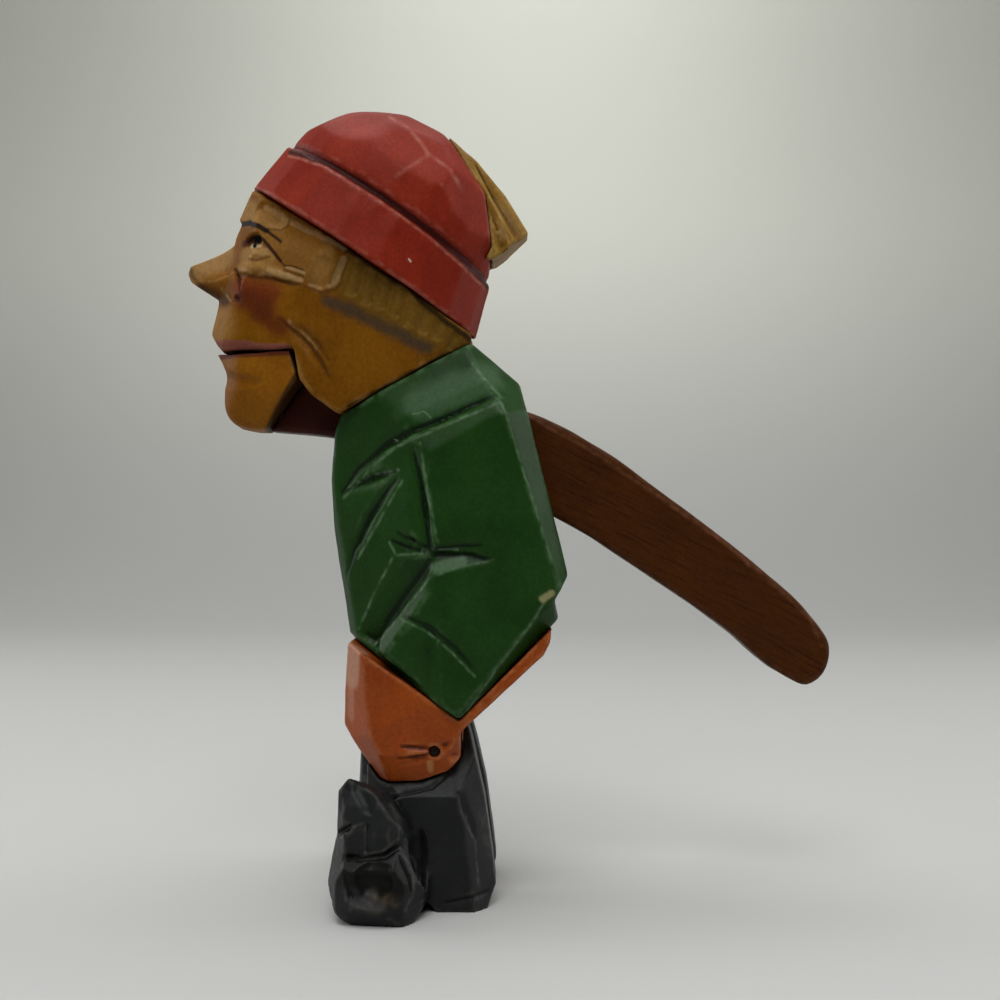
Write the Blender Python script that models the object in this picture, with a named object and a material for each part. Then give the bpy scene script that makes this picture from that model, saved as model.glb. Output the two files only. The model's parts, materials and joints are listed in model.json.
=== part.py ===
"""Carved figural lever nutcracker: a fisherman in a stocking cap, hands in the jacket pockets.

The figure is glued up on dowels from carved blocks: head, cap, tassel, jacket, breeches and boots.
A lever lies in a slot through the neck and the jacket, turns on a cross pin, and carries the lower
jaw on its front end. Lifting the handle drops the jaw, and pressing it down cracks the nut.

Sizes are in millimetres and become metres as each mesh is made. The figure faces -Y, its left side
is +X, it stands on z = 0, and y = 0 is midway between the tip of the nose and the tip of the lever.
A side outline is a list of (y, z) points.
"""

import math

import bmesh
import bpy
from mathutils import Matrix, Vector

MM = 0.001

# Fits
GAP = 0.3
RUNNING_GAP = 0.1
FACET_MERGE_ANGLE = math.radians(0.2)
ROUND_SEGMENTS = 20

# Lever, slot and pivot
LEVER_THICKNESS = 13.0
LEVER_EDGE_ROUND = 1.3
SLOT_WIDTH = 14.4
PIVOT_Y = -28.0
PIVOT_Z = 125.5
PIN_RADIUS = 2.5
PIN_HALF_LENGTH = 20.0
PLUG_RADIUS = 3.2
MOUTH_Z = 145.0
MOUTH_SLIT = 1.0

# Planes on which the blocks are glued together
COLLAR_FRONT = (-44.0, 127.6)
COLLAR_NAPE = (-9.6, 146.0)
HEM_FRONT = (-42.0, 69.6)
HEM_TIP = (-12.6, 49.0)
HEM_BACK = (13.0, 74.4)

# Cap, in a frame that leans back with it
CAP_CENTRE_Y = -39.2
CAP_CENTRE_Z = 168.9
CAP_LEAN = math.radians(34.0)
CUFF_HALF_LENGTH = 36.5
CUFF_HALF_WIDTH = 26.5
CUFF_HEIGHT = 14.6
CUFF_TAPER = 0.915
CUFF_TOP_SHIFT = -1.8
CROWN_CENTRE = (0.0, -1.8, 13.0)
CROWN_RADII = (24.6, 32.6, 28.6)
CROWN_FACET_DEPTH = 0.975
CROWN_FACET_RINGS = ((6, 30, 0.0, 0.0), (34, 10, 18.0, 4.0), (60, 7, 4.0, 4.0))
CROWN_PROFILE_CUTS = (
    ((-34.4, 15.4), (-29.6, 26.6)),
    ((-29.6, 26.6), (-18.5, 37.2)),
    ((-0.9, 41.2), (17.4, 33.2)),
    ((17.4, 33.2), (26.6, 22.6)),
    ((26.6, 22.6), (31.0, 14.0)),
)
GROOVE_RADII = (23.9, 32.8)
GROOVE_SHIFT = -1.6
GROOVE_RISE = 0.9
GROOVE_WIDTH = 3.2
GROOVE_STEPS = 36
TASSEL_FIT = 1.012

# Half-widths of the blocks
JACKET_HALF_WIDTH = 28.5
HEAD_HALF_WIDTH = 21.2
JAW_HALF_WIDTH = 17.0
BREECHES_HALF_WIDTH = 26.6
BOOT_INNER_X = 3.2
BOOT_OUTER_X = 27.0

# Feet
FOOT_TURN_OUT = math.radians(82.0)
FOOT_HALF_WIDTH = 12.4
ANKLE_X = 14.5
ANKLE_Y = -31.0

# Dowels: radius and half-length
DOWEL_RADIUS = 2.5
DOWEL_HALF_LENGTH = 8.0
SMALL_DOWEL_RADIUS = 1.8
SMALL_DOWEL_HALF_LENGTH = 5.5
KNEE_PEG_RADIUS = 1.2

# Pieces that turn with the lever
MOVING_PIECES = ("lever", "jaw", "jaw_dowel_lower", "jaw_dowel_upper")

# A side outline stands in the YZ plane, and its thickness runs along X
SIDE_ON = Matrix(((0, 0, 1, 0), (1, 0, 0, 0), (0, 1, 0, 0), (0, 0, 0, 1)))

JACKET_OUTLINE = [
    COLLAR_NAPE,
    (3.0, 135.5),
    (15.4, 85.6),
    (11.8, 79.4),
    HEM_BACK,
    HEM_TIP,
    HEM_FRONT,
    (-44.2, 83.0),
    (-46.4, 97.0),
    (-47.0, 110.5),
    (-46.0, 123.0),
    COLLAR_FRONT,
]
SHOULDER_FACET = [(27, -2.2, 131.6), (26, -27.7, 120), (20, -28, 136.8)]
CHEST_FACET = [(27.5, -22.5, 121), (27.5, -21, 94), (11, -47, 110)]
BACK_FACET = [(28.5, -2.2, 131.6), (28.5, 10.8, 89.7), (20, 3, 134.6)]
SKIRT_FACET = [(28.3, -12.4, 50.4), (28.3, 8.4, 76.3), (22.0, 13.0, 74.4)]
FOREARM_OUTLINE = [
    (15.4, 85.6),
    (11.6, 79.2),
    (9.6, 73.6),
    (-12.6, 50.0),
    (-33.6, 66.2),
    (-33.0, 69.6),
    (-21.0, 83.6),
    (-19.0, 91.0),
    (0.0, 96.0),
]
HEAD_OUTLINE = [
    (-44.6, 127.6),
    (-51.2, 132.4),
    (-54.5, 136.6),
    (-56.0, MOUTH_Z),
    (-76.8, MOUTH_Z),
    (-80.1, 149.4),
    (-77.2, 159.0),
    (-75.4, 167.0),
    (-73.0, 175.8),
    (-71.4, 178.8),
    (-72.6, 180.4),
    (-67.2, 190.0),
    (-9.8, 155.0),
    (-9.8, 146.0),
]
NOSE_OUTLINE = [
    (-68.0, 178.0),
    (-73.2, 175.6),
    (-75.0, 173.4),
    (-78.0, 171.4),
    (-86.2, 168.4),
    (-86.9, 166.3),
    (-86.0, 164.0),
    (-77.6, 158.7),
    (-68.0, 157.5),
]
JAW_OUTLINE = [
    (-78.0, MOUTH_Z - MOUTH_SLIT),
    (-76.2, 140.4),
    (-75.7, 137.8),
    (-76.3, 133.9),
    (-76.6, 130.3),
    (-75.4, 126.5),
    (-72.2, 124.1),
    (-67.4, 123.2),
    (-64.2, 123.2),
    (-55.0, 136.6),
    (-55.9, 140.4),
    (-57.2, MOUTH_Z - MOUTH_SLIT),
]
LEVER_CURVE = [
    (-46.5, 121.6),
    (-20.0, 113.9),
    (12.6, 100.4),
    (35.3, 86.2),
    (56.8, 71.5),
    (75.8, 56.8),
    (81.2, 55.6),
    (86.5, 64.4),
    (83.0, 71.8),
    (64.1, 89.7),
    (42.5, 106.2),
    (25.0, 118.8),
    (5.0, 128.9),
    (-25.0, 136.0),
]
LEVER_FRONT_TOP = (-54.6, 136.8)
LEVER_FRONT_BOTTOM = (-63.8, 123.4)
TASSEL_OUTLINE = [
    (-16.4, 204.2),
    (-8.4, 196.4),
    (-1.2, 187.4),
    (5.2, 176.7),
    (-3.2, 169.8),
    (-10.0, 168.0),
    (-20.0, 198.0),
]
BREECHES_OUTLINE = [
    (HEM_FRONT[0] + 0.6, HEM_FRONT[1] - 1.0),
    (HEM_TIP[0], HEM_TIP[1]),
    (HEM_BACK[0] - 2.0, HEM_BACK[1] - 2.4),
    (10.6, 68.6),
    (9.0, 65.4),
    (-12.4, 45.6),
    (-12.2, 39.0),
    (-15.5, 35.6),
    (-22.7, 33.0),
    (-30.4, 32.6),
    (-33.0, 33.2),
    (-38.6, 39.8),
    (-43.0, 46.4),
    (-42.4, 58.0),
]
SHAFT_OUTLINE = [
    (-36.6, 0.0),
    (-24.4, 0.0),
    (-21.4, 3.2),
    (-18.4, 0.0),
    (-5.4, 0.0),
    (-3.2, 5.6),
    (-4.3, 14.7),
    (-6.1, 27.6),
    (-9.6, 43.0),
    (-10.6, 46.2),
    (-11.9, 44.4),
    (-11.9, 38.8),
    (-15.3, 35.2),
    (-22.6, 32.6),
    (-30.5, 32.2),
    (-33.4, 32.9),
    (-36.8, 37.2),
]
TOE_OUTLINE = [
    (0.0, 0.0),
    (25.2, 0.0),
    (27.8, 3.4),
    (28.4, 8.0),
    (26.6, 13.8),
    (21.8, 17.8),
    (14.0, 20.4),
    (0.0, 22.0),
]
TONGUE_OUTLINE = [
    (4.0, 6.0),
    (20.0, 6.0),
    (22.6, 16.0),
    (22.8, 22.0),
    (21.2, 28.6),
    (18.0, 35.4),
    (14.8, 33.4),
    (10.0, 26.0),
    (4.0, 22.0),
]

# Scene and materials


def clear_scene():
    """Remove whatever the scene holds."""
    for obj in list(bpy.data.objects):
        bpy.data.objects.remove(obj)


def painted(name, colour, roughness, metallic=0.0):
    """A plain Principled material of one colour."""
    material = bpy.data.materials.new(name)
    material.use_nodes = True
    shader = material.node_tree.nodes["Principled BSDF"]
    shader.inputs["Base Color"].default_value = (*colour, 1.0)
    shader.inputs["Roughness"].default_value = roughness
    shader.inputs["Metallic"].default_value = metallic
    return material


# Stock: blocks, rods and cutters


def mesh_object(name, mesh):
    """A new object in the scene that holds this mesh."""
    obj = bpy.data.objects.new(name, mesh)
    bpy.context.scene.collection.objects.link(obj)
    return obj


def evaluated_mesh(obj):
    """A copy of the object's mesh with its modifiers or its curve worked out."""
    bpy.context.view_layer.update()
    graph = bpy.context.evaluated_depsgraph_get()
    return bpy.data.meshes.new_from_object(obj.evaluated_get(graph))


def edit(obj, work):
    """Run work on the object's mesh as a bmesh."""
    bm = bmesh.new()
    bm.from_mesh(obj.data)
    work(bm)
    bm.to_mesh(obj.data)
    bm.free()


def clean(bm):
    """Weld loose caps, merge flat neighbours and turn every face outwards."""
    bmesh.ops.remove_doubles(bm, verts=bm.verts[:], dist=0.005 * MM)
    bmesh.ops.dissolve_degenerate(bm, edges=bm.edges[:], dist=0.005 * MM)
    bmesh.ops.dissolve_limit(
        bm, angle_limit=FACET_MERGE_ANGLE, verts=bm.verts[:], edges=bm.edges[:]
    )
    bmesh.ops.recalc_face_normals(bm, faces=bm.faces[:])


def mesh_from_curve(name, curve, matrix):
    """A mesh object made from curve data, with its place in the mesh."""
    source = bpy.data.objects.new(name + "_curve", curve)
    bpy.context.scene.collection.objects.link(source)
    mesh = evaluated_mesh(source)
    bpy.data.objects.remove(source)
    mesh.transform(matrix)
    obj = mesh_object(name, mesh)
    edit(obj, clean)
    return obj


def new_flat_curve(name, thickness):
    """An empty filled 2D curve with this thickness."""
    curve = bpy.data.curves.new(name, "CURVE")
    curve.dimensions = "2D"
    curve.fill_mode = "BOTH"
    curve.extrude = thickness / 2 * MM
    return curve


def sawn_block(name, outline, x_low, x_high):
    """A block sawn square through to a side outline, from x_low to x_high."""
    curve = new_flat_curve(name, x_high - x_low)
    spline = curve.splines.new("POLY")
    spline.points.add(len(outline) - 1)
    for point, (y, z) in zip(spline.points, outline):
        point.co = (y * MM, z * MM, 0.0, 1.0)
    spline.use_cyclic_u = True
    middle = Matrix.Translation(((x_low + x_high) / 2 * MM, 0, 0))
    return mesh_from_curve(name, curve, middle @ SIDE_ON)


def rod(name, centre, direction, radius, half_length):
    """A round rod along a direction through its centre."""
    bm = bmesh.new()
    bmesh.ops.create_cone(
        bm,
        cap_ends=True,
        segments=ROUND_SEGMENTS,
        radius1=radius * MM,
        radius2=radius * MM,
        depth=2 * half_length * MM,
    )
    turn = Vector(direction).to_track_quat("Z", "Y").to_matrix().to_4x4()
    bm.transform(Matrix.Translation(Vector(centre) * MM) @ turn)
    mesh = bpy.data.meshes.new(name)
    bm.to_mesh(mesh)
    bm.free()
    return mesh_object(name, mesh)


def ball(name, centre, radii):
    """An ellipsoid, for scooping."""
    bm = bmesh.new()
    bmesh.ops.create_uvsphere(bm, u_segments=16, v_segments=10, radius=MM)
    place = Matrix.Translation(Vector(centre) * MM) @ Matrix.Diagonal((*radii, 1.0))
    bm.transform(place)
    mesh = bpy.data.meshes.new(name)
    bm.to_mesh(mesh)
    bm.free()
    return mesh_object(name, mesh)


def v_tool(name, path, width, closed=False, end_share=0.12):
    """The V-shaped body that a parting tool clears along a path. Open cuts taper out at both ends."""
    curve = bpy.data.curves.new(name, "CURVE")
    curve.dimensions = "3D"
    curve.bevel_depth = width / 2 * MM
    curve.bevel_resolution = 0
    curve.use_fill_caps = not closed
    spline = curve.splines.new("POLY")
    spline.points.add(len(path) - 1)
    last = len(path) - 1
    for index, (point, place) in enumerate(zip(spline.points, path)):
        point.co = (*(Vector(place) * MM), 1.0)
        point.radius = end_share if index in (0, last) and not closed else 1.0
    spline.use_cyclic_u = closed
    return mesh_from_curve(name, curve, Matrix.Identity(4))


# Carving


def pare(piece, corners, keep):
    """Slice a flat facet through three corners and drop the side that doesn't hold the point keep."""
    first, second, third = (Vector(corner) for corner in corners)
    normal = (second - first).cross(third - first).normalized()
    if normal.dot(Vector(keep) - first) > 0:
        normal.negate()

    def slice_off(bm):
        cut = bmesh.ops.bisect_plane(
            bm,
            geom=[*bm.verts, *bm.edges, *bm.faces],
            dist=0.0005 * MM,
            plane_co=first * MM,
            plane_no=normal,
            clear_outer=True,
        )
        rim = [item for item in cut["geom_cut"] if isinstance(item, bmesh.types.BMEdge)]
        bmesh.ops.holes_fill(bm, edges=rim)
        bmesh.ops.recalc_face_normals(bm, faces=bm.faces[:])

    edit(piece, slice_off)


def mirrored(point):
    """The same point on the figure's other side."""
    return (-point[0], point[1], point[2])


def pare_both(piece, corners, keep):
    """The same facet on the left and the right side."""
    pare(piece, corners, keep)
    pare(piece, [mirrored(corner) for corner in corners], mirrored(keep))


def combine(piece, tool, operation):
    """Cut the tool from the piece, or join it on, and use the tool up."""
    modifier = piece.modifiers.new("carve", "BOOLEAN")
    modifier.operation = operation
    modifier.object = tool
    mesh = evaluated_mesh(piece)
    piece.modifiers.remove(modifier)
    piece.data = mesh
    bpy.data.objects.remove(tool)
    edit(piece, clean)


def cut(piece, tool):
    """Remove the tool's shape from the piece."""
    combine(piece, tool, "DIFFERENCE")


def join(piece, tool):
    """Make the tool's shape one with the piece."""
    combine(piece, tool, "UNION")


def v_cut_both(piece, path, width):
    """A tapering V cut on the left side, and its twin on the right."""
    cut(piece, v_tool("v_left", path, width))
    cut(piece, v_tool("v_right", [mirrored(point) for point in path], width))


def mirrored_copy(piece, name):
    """A twin of the piece for the figure's right side."""
    twin = mesh_object(name, piece.data.copy())

    def reflect(bm):
        bm.transform(Matrix.Diagonal((-1.0, 1.0, 1.0, 1.0)))
        bmesh.ops.reverse_faces(bm, faces=bm.faces[:])

    edit(twin, reflect)
    return twin


def shifted_edge(start, end, distance):
    """The line from start to end moved to its left by a distance, as two (y, z) points."""
    along = Vector(end) - Vector(start)
    across = Vector((-along.y, along.x)).normalized() * distance
    return Vector(start) + across, Vector(end) + across


def edge_plane(start, end):
    """Three corners of the plane that runs straight across the figure through a side line."""
    return [(0, *start), (10, *start), (0, *end)]


# Carved blocks


def make_jacket():
    """Torso, shoulders and bent arms, with the lever's slot open to the front, top and back."""
    core = (0, -20, 95)
    jacket = sawn_block("jacket", JACKET_OUTLINE, -JACKET_HALF_WIDTH, JACKET_HALF_WIDTH)
    for facet in (SHOULDER_FACET, CHEST_FACET, BACK_FACET, SKIRT_FACET):
        pare_both(jacket, facet, core)
    pare_both(jacket, [(17.5, -9.6, 146), (26.5, -3.5, 131.6), (14, 3, 135.6)], core)
    pare_both(jacket, [(11, -47.2, 112), (6, -44, 70), (20, -37, 70)], core)
    for side in (-1, 1):
        join(jacket, make_forearm(side))
    carve_jacket_folds(jacket)
    cut(jacket, sawn_block("slot", jacket_slot(), -SLOT_WIDTH / 2, SLOT_WIDTH / 2))
    return jacket


def make_forearm(side):
    """The sleeve from the elbow to the pocket, standing proud of the jacket's side."""
    inner, outer = 12.0 * side, JACKET_HALF_WIDTH * side
    forearm = sawn_block("forearm", FOREARM_OUTLINE, min(inner, outer), max(inner, outer))
    keep = (14 * side, -10, 75)
    facets = [
        [(28.6, -21, 84), (28.6, 9, 84), (25.6, -12.6, 50)],
        BACK_FACET,
        [(28.4, -19, 84), (26.6, -30, 69), (22.0, -24, 84)],
        SKIRT_FACET,
    ]
    for facet in facets:
        pare(forearm, [(x * side, y, z) for x, y, z in facet], keep)
    return forearm


def carve_jacket_folds(jacket):
    """Yoke, sleeve seam, elbow creases, belly fold, lapels, pocket edge and hem on both sides."""
    yoke = [(12.7, -44.4, 106.0), (21.4, -31.7, 119.0), (25.9, -25.0, 122.4)]
    yoke += [(26.6, -10.0, 128.8), (26.2, -2.0, 131.6)]
    v_cut_both(jacket, yoke, 2.6)
    v_cut_both(jacket, [(26.2, -24.3, 118.5), (27.5, -21.7, 103.2), (28.4, -19.8, 92.2)], 3.4)
    v_cut_both(jacket, [(28.4, -20.0, 92.6), (28.6, -11.4, 93.5), (28.5, -4.8, 93.7)], 2.4)
    v_cut_both(jacket, [(28.4, -20.0, 91.6), (28.6, -10.0, 91.2), (28.5, -3.6, 89.8)], 2.6)
    v_cut_both(jacket, [(27.7, -20.4, 92.8), (24.4, -24.8, 94.6), (21.6, -30.2, 97.4)], 2.6)
    v_cut_both(jacket, [(12.7, -44.2, 106.1), (19.6, -34.0, 111.5), (23.6, -28.0, 112.5)], 3.0)
    v_cut_both(jacket, [(23.5, -28.0, 111.0), (17.6, -36.6, 100.2), (12.1, -42.9, 83.2)], 3.0)
    pocket = [(25.4, -27.6, 75.3), (28.2, -19.2, 70.9), (28.0, -12.4, 65.2), (27.2, -7.9, 60.4)]
    v_cut_both(jacket, pocket, 1.8)
    v_cut_both(jacket, [(25.8, -11.5, 51.6), (27.4, -4, 61.4), (28.2, 8.6, 77.6)], 1.6)


def jacket_slot():
    """Side outline of the lever's slot: its sill stops the handle, and its front lets the jaw drop."""
    return [
        (-70.0, 100.3),
        (-31.0, 115.0),
        (13.0, 99.8),
        (45.0, 80.0),
        (45.0, 175.0),
        (-70.0, 175.0),
    ]


def make_head():
    """Face, hair and neck in one block, with the mouth's roof running back as the slot's ceiling."""
    core = (0, -45, 155)
    head = sawn_block("head", HEAD_OUTLINE, -HEAD_HALF_WIDTH, HEAD_HALF_WIDTH)
    seat_front, seat_back = shifted_edge(COLLAR_FRONT, COLLAR_NAPE, GAP)
    pare(head, edge_plane(seat_front, seat_back), core)
    pare(head, [cap_point(0, -30, -GAP), cap_point(10, -30, -GAP), cap_point(0, 30, -GAP)], core)
    pare_both(head, [(21.2, -48, 142), (21.2, -50, 182), (13.5, -74, 152)], core)
    pare_both(head, [(12.6, -75, 150), (6.6, -79.6, 150), (10.5, -68.6, 178)], core)
    pare_both(head, [(21, -25, 150), (21, -25, 140), (13, -9.8, 146)], core)
    pare_both(head, [(21.2, -50, 154), (21.2, -20, 154), (18.4, -40, 130)], core)
    pare_both(head, [(15.5, -66, 172), (19.5, -50, 176), (11.5, -64, 187)], core)
    join(head, make_nose())
    carve_face(head)
    cut(head, ball("nut_scoop", (0, -68, MOUTH_Z), (8.0, 7.5, 6.0)))
    slot = [(-60, 110), (-60, MOUTH_Z), (0, MOUTH_Z), (0, 110)]
    cut(head, sawn_block("slot", slot, -SLOT_WIDTH / 2, SLOT_WIDTH / 2))
    return head


def make_nose():
    """Long straight nose, pared to a narrow ridge."""
    core = (0, -74, 165)
    nose = sawn_block("nose", NOSE_OUTLINE, -8.6, 8.6)
    pare_both(nose, [(1.8, -76, 173.2), (2.4, -86.4, 167.4), (8.0, -74, 163)], core)
    pare_both(nose, [(2.4, -86.6, 166), (7.6, -77, 162), (7.2, -76.4, 158)], core)
    pare_both(nose, [(8.6, -73.5, 168), (8.6, -74.5, 158), (6.6, -78, 161)], core)
    return nose


def carve_face(head):
    """Eye sockets, lids, nostril wings, cheek lines and crow's feet on both sides."""
    for side in (-1, 1):
        cut(head, ball("eye_socket", (13.6 * side, -69.0, 173.6), (3.4, 4.6, 2.2)))
    lid = [(10.4, -69.4, 175.0), (14.8, -66.0, 174.2), (17.5, -61.9, 169.9), (18.8, -57.6, 165.1)]
    crow_foot = [(18.8, -57.5, 165.2), (19.7, -54.8, 164.1), (20.5, -52.0, 163.4)]
    bag = [(10.4, -72.2, 166.4), (16.0, -66.3, 164.8), (18.9, -56.9, 161.8), (20.2, -52.6, 160.6)]
    wing = [(8.4, -73.4, 167.0), (11.2, -71.8, 163.5), (12.7, -71.0, 160.9), (14.4, -69.8, 157.6)]
    fold = [(14.6, -69.8, 157.2), (17.0, -62.5, 150.8), (19.0, -56.3, 147.0)]
    jowl = [(17.8, -60.0, 152.5), (19.7, -53.8, 147.5), (20.3, -50.8, 144.5), (19.0, -45.9, 135.1)]
    for path, width in ((lid, 1.6), (crow_foot, 1.4), (bag, 1.6), (wing, 2.2), (fold, 1.4), (jowl, 1.8)):
        v_cut_both(head, path, width)


def cap_point(x, y, z):
    """A point of the leaning cap's own frame, placed on the figure."""
    lean = Matrix.Rotation(-CAP_LEAN, 3, "X")
    return lean @ Vector((x, y, z)) + Vector((0, CAP_CENTRE_Y, CAP_CENTRE_Z))


def make_cap():
    """Turned-up cuff and faceted crown, parted by a V groove, in the cap's own frame."""
    cap = make_cuff()
    join(cap, make_crown())
    across, along = GROOVE_RADII
    turns = [2 * math.pi * step / GROOVE_STEPS for step in range(GROOVE_STEPS)]
    level = CUFF_HEIGHT + GROOVE_RISE
    ring = [
        (across * math.sin(turn), GROOVE_SHIFT - along * math.cos(turn), level) for turn in turns
    ]
    cut(cap, v_tool("cuff_groove", ring, GROOVE_WIDTH, closed=True))
    return cap


def make_cuff():
    """The cap's turned-up band: a short elliptical cone of flat-sided cuts."""
    bm = bmesh.new()
    bmesh.ops.create_cone(
        bm, cap_ends=True, segments=18, radius1=MM, radius2=CUFF_TAPER * MM, depth=MM
    )
    size = Matrix.Diagonal((CUFF_HALF_WIDTH, CUFF_HALF_LENGTH, CUFF_HEIGHT, 1.0))
    shear = Matrix.Shear("XY", 4, (0.0, CUFF_TOP_SHIFT / CUFF_HEIGHT))
    bm.transform(shear @ Matrix.Translation((0, 0, CUFF_HEIGHT / 2 * MM)) @ size)
    mesh = bpy.data.meshes.new("cap")
    bm.to_mesh(mesh)
    bm.free()
    return mesh_object("cap", mesh)


def crown_facets():
    """Directions that the knife faces as it pares the crown, in rings from the groove to the top."""
    facets = [Vector((0.0, -0.12, 1.0)).normalized()]
    for elevation, count, start, unevenness in CROWN_FACET_RINGS:
        for step in range(count):
            turn = math.radians(start + 360.0 * step / count)
            lift = math.radians(elevation + unevenness * math.sin(2.3 * step + elevation))
            level = math.cos(lift)
            facets.append(Vector((level * math.sin(turn), level * math.cos(turn), math.sin(lift))))
    return facets


def make_crown():
    """The cap's dome, pared flat in facets that lie just under an ellipsoid, with the tassel's seat."""
    centre, radii = Vector(CROWN_CENTRE), Vector(CROWN_RADII)
    crown = ball("crown", CROWN_CENTRE, radii * 1.1)
    for facing in crown_facets():
        reach = Vector(radius * part for radius, part in zip(radii, facing)).length
        foot = centre + facing * reach * CROWN_FACET_DEPTH
        side = facing.orthogonal()
        pare(crown, [foot, foot + side, foot + facing.cross(side)], centre)
    for (front_y, front_z), (back_y, back_z) in CROWN_PROFILE_CUTS:
        pare(crown, [(0, front_y, front_z), (1, front_y, front_z), (0, back_y, back_z)], centre)
    pare(crown, [(0, 0, 6.0), (1, 0, 6.0), (0, 1, 6.0)], centre)
    return crown


def make_tassel(cap):
    """Fluted tuft that hangs from the crown's back and fits the crown's curve."""
    tassel = sawn_block("cap_tassel", TASSEL_OUTLINE, -9.5, 9.5)
    core = (0, -4, 182)
    pare_both(tassel, [(3.6, -14, 203), (9.4, 2, 177), (9.6, -6, 172)], core)
    pare_both(tassel, [(2.0, -9, 197.0), (5.0, 4.6, 177.6), (9.4, -0.6, 174)], core)
    v_cut_both(tassel, [(2.4, -9.4, 196.6), (4.4, -3.6, 187.2), (7.0, 2.2, 176.4)], 2.2)
    v_cut_both(tassel, [(4.6, -8.0, 190.0), (7.6, -4.6, 181.6), (9.6, -1.4, 172.4)], 2.2)
    cutter = mesh_object("crown_clearance", cap.data.copy())
    centre = Matrix.Translation(cap_point(*CROWN_CENTRE) * MM)
    cutter.data.transform(centre @ Matrix.Scale(TASSEL_FIT, 4) @ centre.inverted())
    cut(tassel, cutter)
    return tassel


def make_jaw():
    """Lower lip and chin, scooped on top for the nut."""
    core = (0, -67, 134)
    jaw = sawn_block("jaw", JAW_OUTLINE, -JAW_HALF_WIDTH, JAW_HALF_WIDTH)
    pare_both(jaw, [(17, -57, 140), (17, -57, 125), (13.2, -71.5, 135)], core)
    pare_both(jaw, [(12.8, -72, 140), (12.8, -72, 125), (6.0, -77.4, 140)], core)
    pare_both(jaw, [(15.4, -62, 132), (11, -62, 123), (9, -74.6, 127)], core)
    cut(jaw, ball("nut_scoop", (0, -68, MOUTH_Z - MOUTH_SLIT), (8.0, 7.0, 3.2)))
    return jaw


def make_lever():
    """Bowed bar with rounded edges, cut off at a slant where the jaw is glued on."""
    curve = new_flat_curve("lever", LEVER_THICKNESS - 2 * LEVER_EDGE_ROUND)
    curve.bevel_depth = LEVER_EDGE_ROUND * MM
    curve.bevel_resolution = 1
    curve.offset = -LEVER_EDGE_ROUND * MM
    curve.resolution_u = 5
    spline = curve.splines.new("BEZIER")
    places = [LEVER_FRONT_TOP, LEVER_FRONT_BOTTOM, *LEVER_CURVE]
    spline.bezier_points.add(len(places) - 1)
    for point, (y, z) in zip(spline.bezier_points, places):
        point.co = (y * MM, z * MM, 0.0)
        kind = "VECTOR" if (y, z) in (LEVER_FRONT_TOP, LEVER_FRONT_BOTTOM) else "AUTO"
        point.handle_left_type = point.handle_right_type = kind
    spline.use_cyclic_u = True
    lever = mesh_from_curve("lever", curve, SIDE_ON)
    pivot = (0, PIVOT_Y, PIVOT_Z)
    cut(lever, rod("pivot_bore", pivot, (1, 0, 0), PIN_RADIUS + RUNNING_GAP, LEVER_THICKNESS))
    return lever


def make_breeches():
    """Seat and two puffed knees, notched on top for the jacket's skirt and parted between the legs."""
    core = (0, -28, 46)
    breeches = sawn_block("breeches", BREECHES_OUTLINE, -BREECHES_HALF_WIDTH, BREECHES_HALF_WIDTH)
    skirt = [HEM_FRONT, HEM_TIP, HEM_BACK, (40, 74.4), (40, 120), (-70, 120), (-70, 69.6)]
    skirt = [(y, z - GAP * 1.3) for y, z in skirt]
    cut(breeches, sawn_block("skirt_notch", skirt, -40, 40))
    pare_both(breeches, [(26.6, -37, 60), (26.6, -35.5, 46), (17, -43, 55)], core)
    pare_both(breeches, [(26.6, -36, 46), (26.6, -30, 34.5), (18, -41.5, 44)], core)
    pare_both(breeches, [(26.6, -20, 40), (26.6, -30, 40), (24.2, -25, 32.6)], core)
    v_cut_both(breeches, [(26.9, -11.6, 33), (26.9, -11.6, 40), (26.9, -11.6, 46.5)], 9.0)
    crotch = [(-60, 20), (-60, 52), (-34, 50), (-13, 43), (30, 43), (30, 20)]
    legs_apart = sawn_block("crotch", crotch, -3.6, 3.6)
    cut(breeches, legs_apart)
    v_cut_both(breeches, [(26.8, -18.6, 41.4), (26.8, -25, 42.0), (26.6, -31.5, 41.6)], 1.6)
    v_cut_both(breeches, [(26.8, -18.6, 40.2), (26.8, -25, 39.4), (26.6, -31, 38.6)], 1.6)
    return breeches


def make_toe():
    """Blunt toe with a rounded sole, hollowed in front by a gouge. It points along +Y."""
    half = FOOT_HALF_WIDTH
    core = (0, 12, 8)
    toe = sawn_block("toe", TOE_OUTLINE, -half, half)
    pare_both(toe, [(half, 17.5, 0), (half, 17.5, 10), (8.4, 25.6, 0)], core)
    pare_both(toe, [(8.8, 25.0, 0), (8.8, 25.0, 10), (3.4, 28.2, 0)], core)
    pare_both(toe, [(half, 15, 12.0), (8.0, 25.0, 12.0), (8.4, 17, 19)], core)
    pare(toe, [(half, 5, 8.0), (half, 20, 8.0), (9.4, 10, 2.6)], core)
    pare(toe, [(10.0, 5, 3.4), (10.0, 20, 3.4), (4.8, 10, 0)], core)
    pare(toe, [(-half, 5, 4.4), (-half, 20, 4.4), (-10.4, 10, 0)], core)
    pare(toe, [(-half, 5, 12), (0.4 - half, 18, 11), (-7.6, 12, 22)], core)
    cut(toe, ball("toe_hollow", (-1.6, 30.6, 10.0), (10.4, 5.2, 6.6)))
    welt = [(-half - 0.8, 2, 5.8), (-half - 0.8, 16, 5.8), (-8.6, 26.2, 4.0), (0, 29.2, 2.6)]
    welt += [mirrored(point) for point in reversed(welt[:-1])]
    cut(toe, v_tool("welt_line", welt, 1.6, end_share=1.0))
    return toe


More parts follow.
